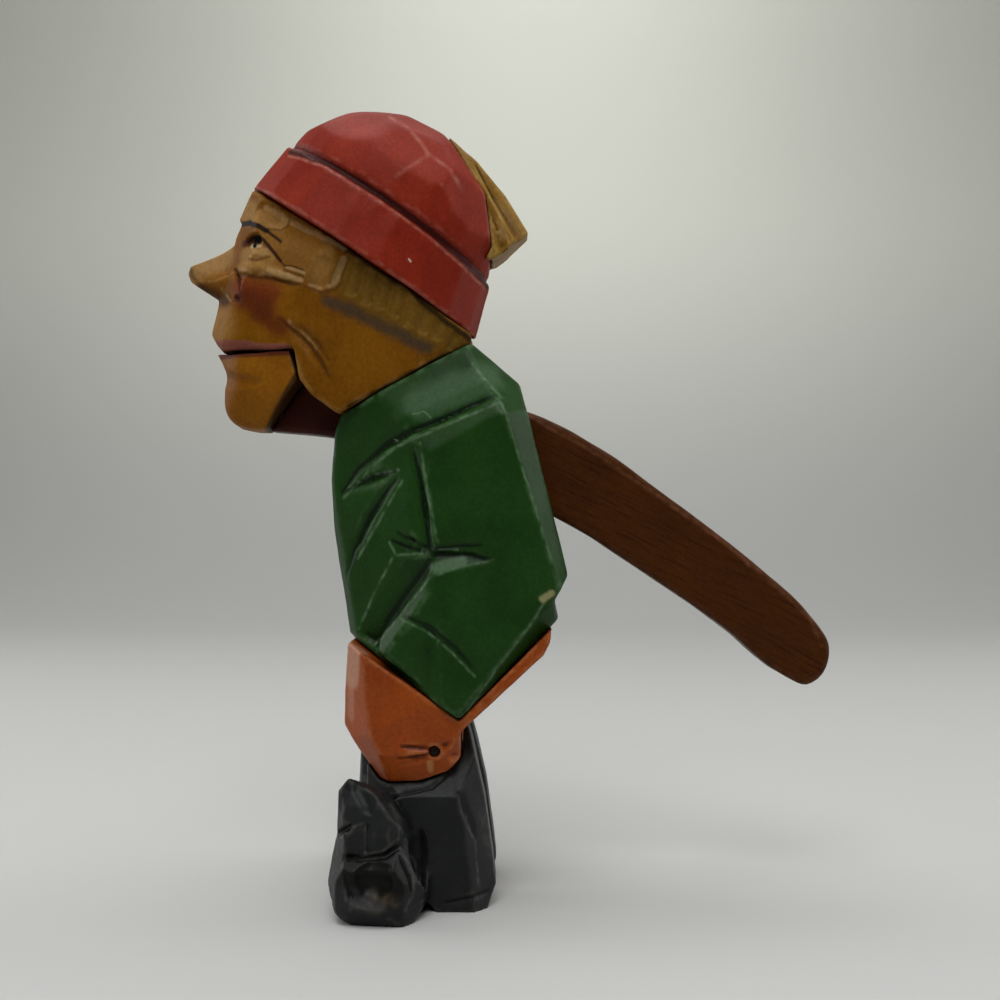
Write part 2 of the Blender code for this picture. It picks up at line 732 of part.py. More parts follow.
def make_tongue():
    """Tall pointed tongue over the instep, with a flap folded across its outer edge."""
    core = (0, 15, 15)
    tongue = sawn_block("tongue", TONGUE_OUTLINE, -9.6, 10.2)
    pare(tongue, [(10.2, 17.0, 15), (10.2, 17.0, 30), (6.8, 23.0, 15)], core)
    pare(tongue, [(10.2, 15, 20), (10.2, 25, 20), (9.4, 20, 33)], core)
    pare(tongue, [(9.8, 16, 31.4), (9.8, 20, 31.4), (6.8, 18, 35.2)], core)
    pare(tongue, [(7.4, 16, 35.4), (-1.2, 16, 31.2), (7.4, 20, 35.2)], core)
    pare(tongue, [(-1.0, 16, 31.4), (-7.2, 16, 23.2), (-1.0, 20, 31.2)], core)
    pare(tongue, [(-7.0, 16, 23.6), (-9.4, 16, 15.0), (-7.0, 20, 23.4)], core)
    pare(tongue, [(-9.6, 16, 10), (-9.6, 16, 20), (-4.4, 22.8, 10)], core)
    flap = [(2.0, 23.0, 15.4), (2.2, 23.2, 24.4), (5.2, 23.2, 23.6), (10.6, 17.6, 20.8)]
    cut(tongue, v_tool("flap_line", flap, 2.2, end_share=1.0))
    crease = [(6.6, 20.0, 33.6), (5.6, 22.0, 29.0), (6.4, 23.0, 24.2)]
    cut(tongue, v_tool("tongue_crease", crease, 1.8))
    return tongue


def make_foot():
    """Toe and tongue in one, with a scalloped line between them, turned out from the ankle."""
    foot = make_toe()
    join(foot, make_tongue())
    scallop = [(-10, 14, 24), (-7.6, 20.0, 19.4), (-3.6, 22.6, 16.8), (2, 23.2, 16.2), (8.4, 22.6, 15.8)]
    cut(foot, v_tool("tongue_line", scallop, 2.4, end_share=1.0))
    turn = Matrix.Rotation(FOOT_TURN_OUT - math.pi, 4, "Z")
    foot.data.transform(Matrix.Translation(Vector((ANKLE_X, ANKLE_Y, 0)) * MM) @ turn)
    return foot


def make_left_boot():
    """Bucket-topped shaft with a heel, and the foot that turns out from it."""
    core = (15, -20, 15)
    boot = sawn_block("left_boot", SHAFT_OUTLINE, BOOT_INNER_X, BOOT_OUTER_X)
    pare(boot, [(24.4, -25, 32.8), (24.4, -15, 32.8), (27, -20, 29.4)], core)
    pare(boot, [(27, -8.5, 0), (27, -13.5, 35), (20, -3.0, 0)], core)
    pare(boot, [(27, -24, 4), (27, -28, 32), (18, -37, 20)], core)
    pare(boot, [(3.2, -9, 0), (3.2, -14, 40), (8, -3.0, 0)], core)
    pare(boot, [(3.2, -31, 0), (3.2, -31, 36), (7, -36.8, 0)], core)
    join(boot, make_foot())
    cut(boot, ball("ankle_hollow", (30.5, -22.6, 15.0), (5.0, 3.0, 10.0)))
    return boot


# Joinery


def drill(piece, centre, direction, radius, half_length, gap=GAP):
    """A hole with room for a rod of this size."""
    cut(piece, rod("drill", centre, direction, radius + gap, half_length + GAP))


def doweled(name, first, second, centre, direction, radius, half_length):
    """A dowel let half into each of two glued pieces."""
    for piece in (first, second):
        drill(piece, centre, direction, radius, half_length)
    return rod(name, centre, direction, radius, half_length)


def make_pivot(jacket):
    """The lever's cross pin, and the plugs that hide its ends under the paint."""
    centre = (0, PIVOT_Y, PIVOT_Z)
    drill(jacket, centre, (1, 0, 0), PIN_RADIUS, PIN_HALF_LENGTH)
    pin = rod("pivot_pin", centre, (1, 0, 0), PIN_RADIUS, PIN_HALF_LENGTH)
    plugs = []
    for name, side in (("pin_plug_left", 1), ("pin_plug_right", -1)):
        inner, outer = PIN_HALF_LENGTH + 2 * GAP, JACKET_HALF_WIDTH
        middle = ((inner + outer) / 2 * side, PIVOT_Y, PIVOT_Z)
        half = (outer - inner) / 2
        drill(jacket, middle, (1, 0, 0), PLUG_RADIUS, half, RUNNING_GAP)
        plug = rod(name, middle, (1, 0, 0), PLUG_RADIUS, half)
        for facet in (SHOULDER_FACET, CHEST_FACET):
            pare(plug, [(x * side, y, z) for x, y, z in facet], (inner * side, PIVOT_Y, PIVOT_Z))
        plugs.append(plug)
    return [pin, *plugs]


def make_dowels(pieces):
    """Every hidden dowel of the glued figure, and the pegs that pin the knees."""
    head, jacket, cap = pieces["head"], pieces["jacket"], pieces["cap"]
    breeches, jaw, lever = pieces["breeches"], pieces["jaw"], pieces["lever"]
    collar = Vector((0, *(Vector(COLLAR_NAPE) - Vector(COLLAR_FRONT))))
    collar_up = collar.cross(Vector((-1, 0, 0)))
    hem = Vector((0, *(Vector(HEM_TIP) - Vector(HEM_FRONT))))
    hem_up = hem.cross(Vector((-1, 0, 0)))
    dowels = []
    for word, side in (("left", 1), ("right", -1)):
        neck = (13.6 * side, -22.0, 139.4)
        waist = (14.0 * side, -27.0, 59.1)
        knee = (14.6 * side, -24.0, 32.6)
        boot = pieces[word + "_boot"]
        size = (DOWEL_RADIUS, DOWEL_HALF_LENGTH)
        dowels.append(doweled("neck_dowel_" + word, head, jacket, neck, collar_up, *size))
        dowels.append(doweled("waist_dowel_" + word, jacket, breeches, waist, hem_up, *size))
        dowels.append(doweled("leg_dowel_" + word, breeches, boot, knee, (0, 0, 1), *size))
        dowels.append(make_knee_peg("knee_peg_" + word, breeches, side))
    crown_seat = cap_point(0, 0, 0)
    cap_up = cap_point(0, 0, 1) - crown_seat
    dowels.append(
        doweled("cap_dowel", cap, head, crown_seat, cap_up, DOWEL_RADIUS, DOWEL_HALF_LENGTH)
    )
    small = (SMALL_DOWEL_RADIUS, SMALL_DOWEL_HALF_LENGTH)
    dowels.append(
        doweled("tassel_dowel", cap, pieces["cap_tassel"], (0, -7.4, 184), (0, 1, 0.3), *small)
    )
    scarf = Vector(LEVER_FRONT_TOP) - Vector(LEVER_FRONT_BOTTOM)
    scarf_out = (0, -scarf.y, scarf.x)
    for word, share in (("lower", 0.3), ("upper", 0.7)):
        y, z = Vector(LEVER_FRONT_BOTTOM) + scarf * share
        dowels.append(doweled("jaw_dowel_" + word, jaw, lever, (0, y, z), scarf_out, *small))
    return dowels


def make_knee_peg(name, breeches, side):
    """The sunk peg in the crease behind the knee."""
    centre = (22.6 * side, -18.9, 40.8)
    drill(breeches, centre, (1, 0, 0), KNEE_PEG_RADIUS, 6.0)
    return rod(name, (21.6 * side, *centre[1:]), (1, 0, 0), KNEE_PEG_RADIUS, 3.4)


# Assembly


def finish_piece(piece, material, collection, parent):
    """Give the piece its paint, its place in the collection and the body that carries it."""
    piece.data.materials.clear()
    piece.data.materials.append(material)
    piece.data.set_sharp_from_angle(angle=math.radians(25))
    bpy.context.scene.collection.objects.unlink(piece)
    collection.objects.link(piece)
    bpy.context.view_layer.update()
    piece.parent = parent
    piece.matrix_parent_inverse = parent.matrix_world.inverted()


def main():
    """Carve every piece, fit the joints and assemble the figure."""
    clear_scene()
    assembly = bpy.data.collections.new("fisherman_nutcracker")
    bpy.context.scene.collection.children.link(assembly)

    skin = painted("ochre_skin", (0.42, 0.22, 0.05), 0.35)
    paints = {
        "jacket": painted("green_paint", (0.02, 0.10, 0.025), 0.35),
        "head": skin,
        "jaw": skin,
        "cap": painted("red_paint", (0.36, 0.035, 0.02), 0.4),
        "cap_tassel": painted("yellow_paint", (0.50, 0.33, 0.06), 0.45),
        "breeches": painted("orange_paint", (0.55, 0.13, 0.015), 0.4),
        "boot": painted("black_paint", (0.025, 0.025, 0.026), 0.45),
        "lever": painted("brown_stain", (0.13, 0.035, 0.012), 0.4),
        "pivot_pin": painted("steel", (0.45, 0.45, 0.46), 0.35, metallic=1.0),
        "knee_peg": painted("dark_peg", (0.03, 0.015, 0.01), 0.7),
        "dowel": painted("bare_beech", (0.55, 0.38, 0.22), 0.6),
    }
    paints["pin_plug"] = paints["jacket"]

    pieces = {"jacket": make_jacket(), "head": make_head(), "cap": make_cap()}
    lean = Matrix.Rotation(-CAP_LEAN, 4, "X")
    pieces["cap"].data.transform(Matrix.Translation(cap_point(0, 0, 0) * MM) @ lean)
    pieces["breeches"] = make_breeches()
    pieces["left_boot"] = make_left_boot()
    pieces["right_boot"] = mirrored_copy(pieces["left_boot"], "right_boot")
    pieces["cap_tassel"] = make_tassel(pieces["cap"])
    pieces["jaw"] = make_jaw()
    pieces["lever"] = make_lever()
    scarf = shifted_edge(LEVER_FRONT_BOTTOM, LEVER_FRONT_TOP, GAP)
    pare(pieces["jaw"], edge_plane(*scarf), (0, -70, 135))
    for piece in make_dowels(pieces) + make_pivot(pieces["jacket"]):
        pieces[piece.name] = piece

    figure = bpy.data.objects.new("figure", None)
    lever_pivot = bpy.data.objects.new("lever_pivot", None)
    lever_pivot.location = Vector((0, PIVOT_Y, PIVOT_Z)) * MM
    lever_pivot.parent = figure
    for empty in (figure, lever_pivot):
        assembly.objects.link(empty)
    for name, piece in pieces.items():
        paint = next(paints[word] for word in paints if word in name)
        moves = name in MOVING_PIECES
        finish_piece(piece, paint, assembly, lever_pivot if moves else figure)


main()
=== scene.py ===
"""Looks of the carved fisherman nutcracker: knife work, paint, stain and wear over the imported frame.

Each carved block is a refined copy of its CAD node. Strokes of the parting tool and the gouge are cut
into it, its edges are softened, and the paint then follows the edges and hollows that are left.
Sizes are in millimetres in the frame of the CAD: the figure faces -Y and its left side is +X.
"""

import json
import logging
import math
from dataclasses import dataclass
from enum import Enum

import bmesh
import bpy
import numpy as np
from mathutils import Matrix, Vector, noise

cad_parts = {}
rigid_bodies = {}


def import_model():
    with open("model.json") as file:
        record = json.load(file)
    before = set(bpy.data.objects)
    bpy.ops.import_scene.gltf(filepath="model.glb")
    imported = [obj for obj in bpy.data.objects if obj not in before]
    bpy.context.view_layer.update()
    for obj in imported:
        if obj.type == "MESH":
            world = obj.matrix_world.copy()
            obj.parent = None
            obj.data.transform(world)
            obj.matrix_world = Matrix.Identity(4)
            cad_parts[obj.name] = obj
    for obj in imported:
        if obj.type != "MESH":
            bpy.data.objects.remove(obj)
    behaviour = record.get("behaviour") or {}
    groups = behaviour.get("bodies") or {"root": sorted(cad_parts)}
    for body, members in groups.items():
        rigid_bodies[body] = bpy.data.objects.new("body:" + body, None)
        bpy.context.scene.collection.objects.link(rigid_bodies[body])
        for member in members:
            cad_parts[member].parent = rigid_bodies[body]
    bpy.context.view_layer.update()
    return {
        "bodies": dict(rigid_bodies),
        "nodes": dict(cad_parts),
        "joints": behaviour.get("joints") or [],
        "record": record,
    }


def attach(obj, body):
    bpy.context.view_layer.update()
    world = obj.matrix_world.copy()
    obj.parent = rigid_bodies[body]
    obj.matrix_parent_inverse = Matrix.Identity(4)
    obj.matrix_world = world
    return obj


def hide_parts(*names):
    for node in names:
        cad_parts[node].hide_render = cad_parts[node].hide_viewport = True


MM = 0.001
WELD_DISTANCE = 0.001
LOG = logging.getLogger("fisherman_nutcracker")

Point = tuple[float, float, float]
Colour = tuple[float, float, float]
Socket = bpy.types.NodeSocket


# Carving


class Profile(Enum):
    """Cross-section that a carving tool leaves."""

    PARTING = "v-shaped"
    GOUGE = "round"


@dataclass(frozen=True)
class Stroke:
    """One stroke of a carving tool along a path on the surface.

    The stroke runs out over start and end, as shares of its length. Widths are on the two sides of the
    path, left first for someone who follows it with the surface below. A negative depth is a ridge that
    the carver left standing.
    """

    path: tuple[Point, ...]
    widths: tuple[float, float]
    depth: float
    profile: Profile = Profile.PARTING
    start: float = 0.4
    end: float = 0.4
    paired: bool = True

    def mirrored(self) -> "Stroke":
        """The same stroke on the figure's other side.

        Returns:
            The twin stroke.
        """
        path = tuple((-x, y, z) for x, y, z in self.path)
        widths = self.widths[::-1]
        return Stroke(path, widths, self.depth, self.profile, self.start, self.end, False)


@dataclass(frozen=True)
class Zone:
    """A round area on the figure's left side, with its twin on the right and a soft edge."""

    centre: Point
    radius: float
    soft: float

    def share(self, points: np.ndarray) -> np.ndarray:
        """How much each point belongs to the zone.

        Args:
            points: One row per point, in millimetres.

        Returns:
            Numbers between 0 outside and 1 inside.
        """
        left_side = np.column_stack((np.abs(points[:, 0]), points[:, 1:]))
        away = np.linalg.norm(left_side - np.array(self.centre), axis=1)
        return np.clip((self.radius + self.soft - away) / self.soft, 0.0, 1.0)


class Carver:
    """A mesh's points as arrays in millimetres, for strokes, smoothing and measuring hollows."""

    REACH = 4.0
    OVERRUN = 0.5
    FACING_AWAY = -0.05
    LEAST_WIDTH = 0.01
    SEED_SPREAD = (1.0, 1.7, 0.6)
    FINE_ROUNDS = 8
    EVENING_ROUNDS = 2
    BROAD_ROUNDS = 60
    FULL_EDGE = 0.28
    FULL_CREASE = 0.26
    FULL_HOLLOW = 0.7

    def __init__(self, mesh: bpy.types.Mesh, pitch: float) -> None:
        """Read the mesh.

        Args:
            mesh: The mesh that is carved.
            pitch: Distance between neighbouring points.
        """
        self.mesh = mesh
        self.pitch = pitch
        self.points = self.read(mesh.vertices, "co", 3, np.float32).reshape(-1, 3) / MM
        self.edges = self.read(mesh.edges, "vertices", 2, np.int32).reshape(-1, 2)
        self.degree = np.bincount(self.edges.ravel(), minlength=len(self.points))[:, None]
        self.normals = np.zeros_like(self.points)
        self.refresh()

    @staticmethod
    def read(items: bpy.types.bpy_prop_collection, name: str, width: int, kind: type) -> np.ndarray:
        """One property of every item as a flat array.

        Args:
            items: The mesh's points or edges.
            name: The property.
            width: Numbers in each item.
            kind: The numbers' type.

        Returns:
            The numbers of all items in one row.
        """
        values = np.empty(len(items) * width, kind)
        items.foreach_get(name, values)
        return values

    def refresh(self) -> None:
        """Write the points back and read the normals again."""
        self.mesh.vertices.foreach_set("co", (self.points * MM).astype(np.float32).ravel())
        self.mesh.update()
        self.normals = self.read(self.mesh.vertices, "normal", 3, np.float32).reshape(-1, 3)

    def averaged(self, values: np.ndarray, rounds: int) -> np.ndarray:
        """Values evened out with their neighbours.

        Args:
            values: One row per point.
            rounds: How often each point moves half-way to its neighbours' mean.

        Returns:
            The smoothed values.
        """
        result = values.astype(np.float64)
        first, second = self.edges[:, 0], self.edges[:, 1]
        for _ in range(rounds):
            total = np.zeros_like(result)
            for column in range(result.shape[1]):
                total[:, column] = np.bincount(
                    first, result[second, column], len(result)
                ) + np.bincount(second, result[first, column], len(result))
            result = 0.5 * result + 0.5 * total / self.degree
        return result

    def soften(self, rounds: int, zone: Zone | None = None) -> None:
        """Round the edges as sanding and paint do.

        Args:
            rounds: How far the edges are rounded.
            zone: The area that is rounded, or None for the whole piece.
        """
        share = 1.0 if zone is None else zone.share(self.points)[:, None]
        self.points = self.points + (self.averaged(self.points, rounds) - self.points) * share
        self.refresh()

    @staticmethod
    def nearest(points: np.ndarray, path: tuple[Point, ...]) -> tuple[np.ndarray, np.ndarray, np.ndarray]:
        """Where each point lies against a path.

        Args:
            points: One row per point.
            path: The path's corners.

        Returns:
            The offset from the path, the share of its length there, and its direction there.
        """
        corners = np.array(path)
        lengths = np.linalg.norm(np.diff(corners, axis=0), axis=1)
        offset = np.full(points.shape, np.inf)
        share = np.zeros(len(points))
        heading = np.zeros(points.shape)
        best = np.full(len(points), np.inf)
        walked = 0.0
        for begin, finish, length in zip(corners[:-1], corners[1:], lengths):
            along = (finish - begin) / length
            reach = np.clip((points - begin) @ along, 0.0, length)
            away = points - (begin + reach[:, None] * along)
            distance = np.linalg.norm(away, axis=1)
            closer = distance < best
            best[closer] = distance[closer]
            offset[closer] = away[closer]
            share[closer] = (walked + reach[closer]) / lengths.sum()
            heading[closer] = along
            walked += length
        return offset, share, heading

    def cut(self, stroke: Stroke) -> None:
        """Press one stroke into the surface.

        Args:
            stroke: The stroke, and its twin if it is paired.
        """
        corners = np.array(stroke.path)
        margin = max(stroke.widths) + self.REACH
        inside = (self.points > corners.min(axis=0) - margin) & (self.points < corners.max(axis=0) + margin)
        chosen = np.flatnonzero(inside.all(axis=1))
        offset, share, heading = self.nearest(self.points[chosen], stroke.path)
        under = np.linalg.norm(offset, axis=1) < max(stroke.widths)
        if under.any():
            normals = self.normals[chosen]
            down = -normals[under].mean(axis=0)
            down /= np.linalg.norm(down)
            lateral = np.einsum("ij,ij->i", offset, np.cross(heading, -down))
            run_in = np.clip(share / stroke.start, 0.0, 1.0)
            run_out = np.clip((1.0 - share) / stroke.end, 0.0, 1.0)
            strength = np.sqrt(np.minimum(run_in, run_out))
            width = np.where(lateral > 0, stroke.widths[1], stroke.widths[0]) * strength
            part = np.clip(np.abs(lateral) / np.maximum(width, self.pitch * self.LEAST_WIDTH), 0.0, 1.0)
            shape = 1.0 - part if stroke.profile is Profile.PARTING else 1.0 - part**2
            beyond = np.abs(np.einsum("ij,ij->i", offset, heading))
            reached = (np.abs(offset @ down) < self.REACH) & (beyond < self.OVERRUN)
            reached &= normals @ down < self.FACING_AWAY
            self.points[chosen] += down * (shape * strength * stroke.depth * reached)[:, None]
            self.refresh()
        if stroke.paired:
            self.cut(stroke.mirrored())

    def ripple(self, pitch: float, height: float, seed: float) -> None:
        """Leave the slight waviness of a hand-held blade.

        Args:
            pitch: Length of a wave.
            height: Largest rise or fall.
            seed: Shifts the pattern.
        """
        shift = Vector([seed * spread for spread in self.SEED_SPREAD])
        waves = np.array([noise.noise(Vector(point) / pitch + shift) for point in self.points])
        self.points = self.points + self.normals * (waves * height)[:, None]
        self.refresh()

    def shift(self, zone: Zone, move: Point) -> None:
        """Move one area by some millimetres, fading out at its edge."""
        self.points = self.points + zone.share(self.points)[:, None] * np.array(move)
        self.refresh()

    def swell(self, amount: float) -> None:
        """Move the whole surface outwards by some millimetres."""
        self.points = self.points + self.normals * amount
        self.refresh()

    def convexity(self, rounds: int) -> np.ndarray:
        """How far each point stands above its smoothed neighbourhood, in millimetres."""
        away = self.points - self.averaged(self.points, rounds)
        return np.einsum("ij,ij->i", away, self.normals)

    def paint_guides(self) -> None:
        """Store the worn edges and the hollows as attributes for the finishes."""
        sharpness = self.convexity(self.FINE_ROUNDS)[:, None]
        fine = self.averaged(sharpness, self.EVENING_ROUNDS)[:, 0] / self.pitch
        broad = self.convexity(self.BROAD_ROUNDS)
        self.store("edge", np.clip(fine / self.FULL_EDGE, 0.0, 1.0))
        self.store("crease", np.clip(-fine / self.FULL_CREASE, 0.0, 1.0))
        self.store("hollow", np.clip(-broad / self.FULL_HOLLOW, 0.0, 1.0))

    def store(self, name: str, values: np.ndarray) -> None:
        """Keep one number per point on the mesh."""
        attribute = self.mesh.attributes.new(name, "FLOAT", "POINT")
        attribute.data.foreach_set("value", values.astype(np.float32))


# Finishes


class Recipe:
    """Builds one material's node tree in short steps, on Object coordinates in millimetres."""

    MIX_SHARE, MIX_FIRST, MIX_SECOND = 0, 6, 7
    MIX_RESULT = 2
    GRAIN_DETAIL = 4.0

    def __init__(self, name: str) -> None:
        """Start a material.

        Args:
            name: The material's name.
        """
        self.material = bpy.data.materials.new(name)
        self.material.use_nodes = True
        self.tree = self.material.node_tree
        self.shader = self.tree.nodes["Principled BSDF"]
        coordinates = self.tree.nodes.new("ShaderNodeTexCoord")
        self.place = self.vector("SCALE", coordinates.outputs["Object"], scale=1.0 / MM)

    def node(self, kind: str, inputs: dict, **settings: object) -> bpy.types.Node:
        """A node with its settings made and its inputs fed with values or links.

        Args:
            kind: The node's type.
            inputs: Values or links by socket.
            settings: The node's properties.

        Returns:
            The node.
        """
        made = self.tree.nodes.new(kind)
        for key, value in settings.items():
            setattr(made, key, value)
        for key, value in inputs.items():
            if isinstance(value, Socket):
                self.tree.links.new(value, made.inputs[key])
            else:
                made.inputs[key].default_value = value
        return made

    def feed(self, socket: str, value: object) -> None:
        """Give the shader one input, as a value or a link.

        Args:
            socket: The shader's socket.
            value: A value or a link.
        """
        if isinstance(value, Socket):
            self.tree.links.new(value, self.shader.inputs[socket])
        else:
            self.shader.inputs[socket].default_value = value

    def vector(self, operation: str, first: object, second: object = None, scale: float = 1.0) -> Socket:
        """A vector sum.

        Args:
            operation: The kind of sum.
            first: First vector.
            second: Second vector, if the sum has one.
            scale: The factor of a scaling.

        Returns:
            The resulting vector.
        """
        inputs = {0: first}
        if second is not None:
            inputs[1] = second
        if operation == "SCALE":
            inputs["Scale"] = scale
        return self.node("ShaderNodeVectorMath", inputs, operation=operation).outputs["Vector"]

    def sum(self, operation: str, first: object, second: object = 0.0) -> Socket:
        """A sum of two numbers, kept between 0 and 1."""
        inputs = {0: first, 1: second}
        return self.node("ShaderNodeMath", inputs, operation=operation, use_clamp=True).outputs[0]

    def attribute(self, name: str) -> Socket:
        """One number per point that the mesh carries."""
        return self.node("ShaderNodeAttribute", {}, attribute_name=name).outputs["Fac"]

    def stretched(self, scale: Point) -> Socket:
        """The place squeezed or stretched along each axis."""
        return self.vector("MULTIPLY", self.place, scale)

    def grain(self, scale: Point, turn: float) -> Socket:
        """Streaks of wood, turned about the X axis and stretched along each axis.

        Args:
            scale: Waves per millimetre along each axis.
            turn: Turn about the X axis, in radians.

        Returns:
            Noise between 0 and 1.
        """
        inputs = {"Vector": self.place, "Angle": turn}
        turned = self.node("ShaderNodeVectorRotate", inputs, rotation_type="X_AXIS").outputs["Vector"]
        return self.noise(1.0, self.GRAIN_DETAIL, self.vector("MULTIPLY", turned, scale))

    def noise(self, scale: float, detail: float = 3.0, place: Socket | None = None) -> Socket:
        """Cloudy noise between 0 and 1, with scale in waves per millimetre."""
        inputs = {"Vector": place or self.place, "Scale": scale, "Detail": detail}
        return self.node("ShaderNodeTexNoise", inputs).outputs["Fac"]

    def between(self, value: object, low: float, high: float) -> Socket:
        """A soft step from 0 at low to 1 at high.

        Args:
            value: The number that is stepped.
            low: Where the step begins.
            high: Where the step ends.

        Returns:
            A number between 0 and 1.
        """
        inputs = {"Value": value, "From Min": low, "From Max": high}
        made = self.node("ShaderNodeMapRange", inputs, interpolation_type="SMOOTHSTEP")
        return made.outputs["Result"]

    def span(self, value: object, low: float, high: float) -> Socket:
        """A number from low to high as value goes from 0 to 1."""
        inputs = {"Value": value, "To Min": low, "To Max": high}
        return self.node("ShaderNodeMapRange", inputs).outputs["Result"]

    def blend(self, share: object, first: object, second: object, mode: str = "MIX") -> Socket:
        """One colour over another.

        Args:
            share: How much of the second colour covers.
            first: The colour below.
            second: The colour on top.
            mode: How the colours mix.

        Returns:
            The mixed colour.
        """
        made = self.node("ShaderNodeMix", {}, data_type="RGBA", blend_type=mode)
        fed = ((self.MIX_SHARE, share), (self.MIX_FIRST, first), (self.MIX_SECOND, second))
        for index, value in fed:
            if isinstance(value, Socket):
                self.tree.links.new(value, made.inputs[index])
            elif index == self.MIX_SHARE:
                made.inputs[index].default_value = value
            else:
                made.inputs[index].default_value = (*value, 1.0)
        return made.outputs[self.MIX_RESULT]

    def finish(self, colour: Socket, rough: object, relief: Socket, height: float) -> bpy.types.Material:
        """Close the recipe.

        Args:
            colour: The surface colour.
            rough: The roughness.
            relief: A height map between 0 and 1.
            height: The relief's height in millimetres.

        Returns:
            The finished material.
        """
        inputs = {"Height": relief, "Strength": 1.0, "Distance": height * MM}
        bump = self.node("ShaderNodeBump", inputs)
        self.feed("Base Color", colour)
        self.feed("Roughness", rough)
        self.feed("Normal", bump.outputs["Normal"])
        return self.material


@dataclass(frozen=True)
class Mark:
    """A brush line over the base coat, the same on both sides of the figure.

    A path of (y, z) points is painted straight in from the side. A line wanders by some millimetres,
    and lines of worn paint and painted highlights can be broken up in patches.
    """

    path: tuple[tuple[float, ...], ...]
    radius: float
    soft: float
    colour: Colour
    cover: float = 0.9
    wander: float = 0.0
    # Breaks the line up in patches, for worn paint and for painted highlights on ridges.
    rubbed_and_lit: bool = False

    def corners(self) -> tuple[Point, ...]:
        """The path in space, with x at 0 for a path that is painted from the side."""
        return tuple((0.0, *point) if self.is_flat() else point for point in self.path)

    def is_flat(self) -> bool:
        """Whether the path is painted straight in from the side."""
        return len(self.path[0]) == 2


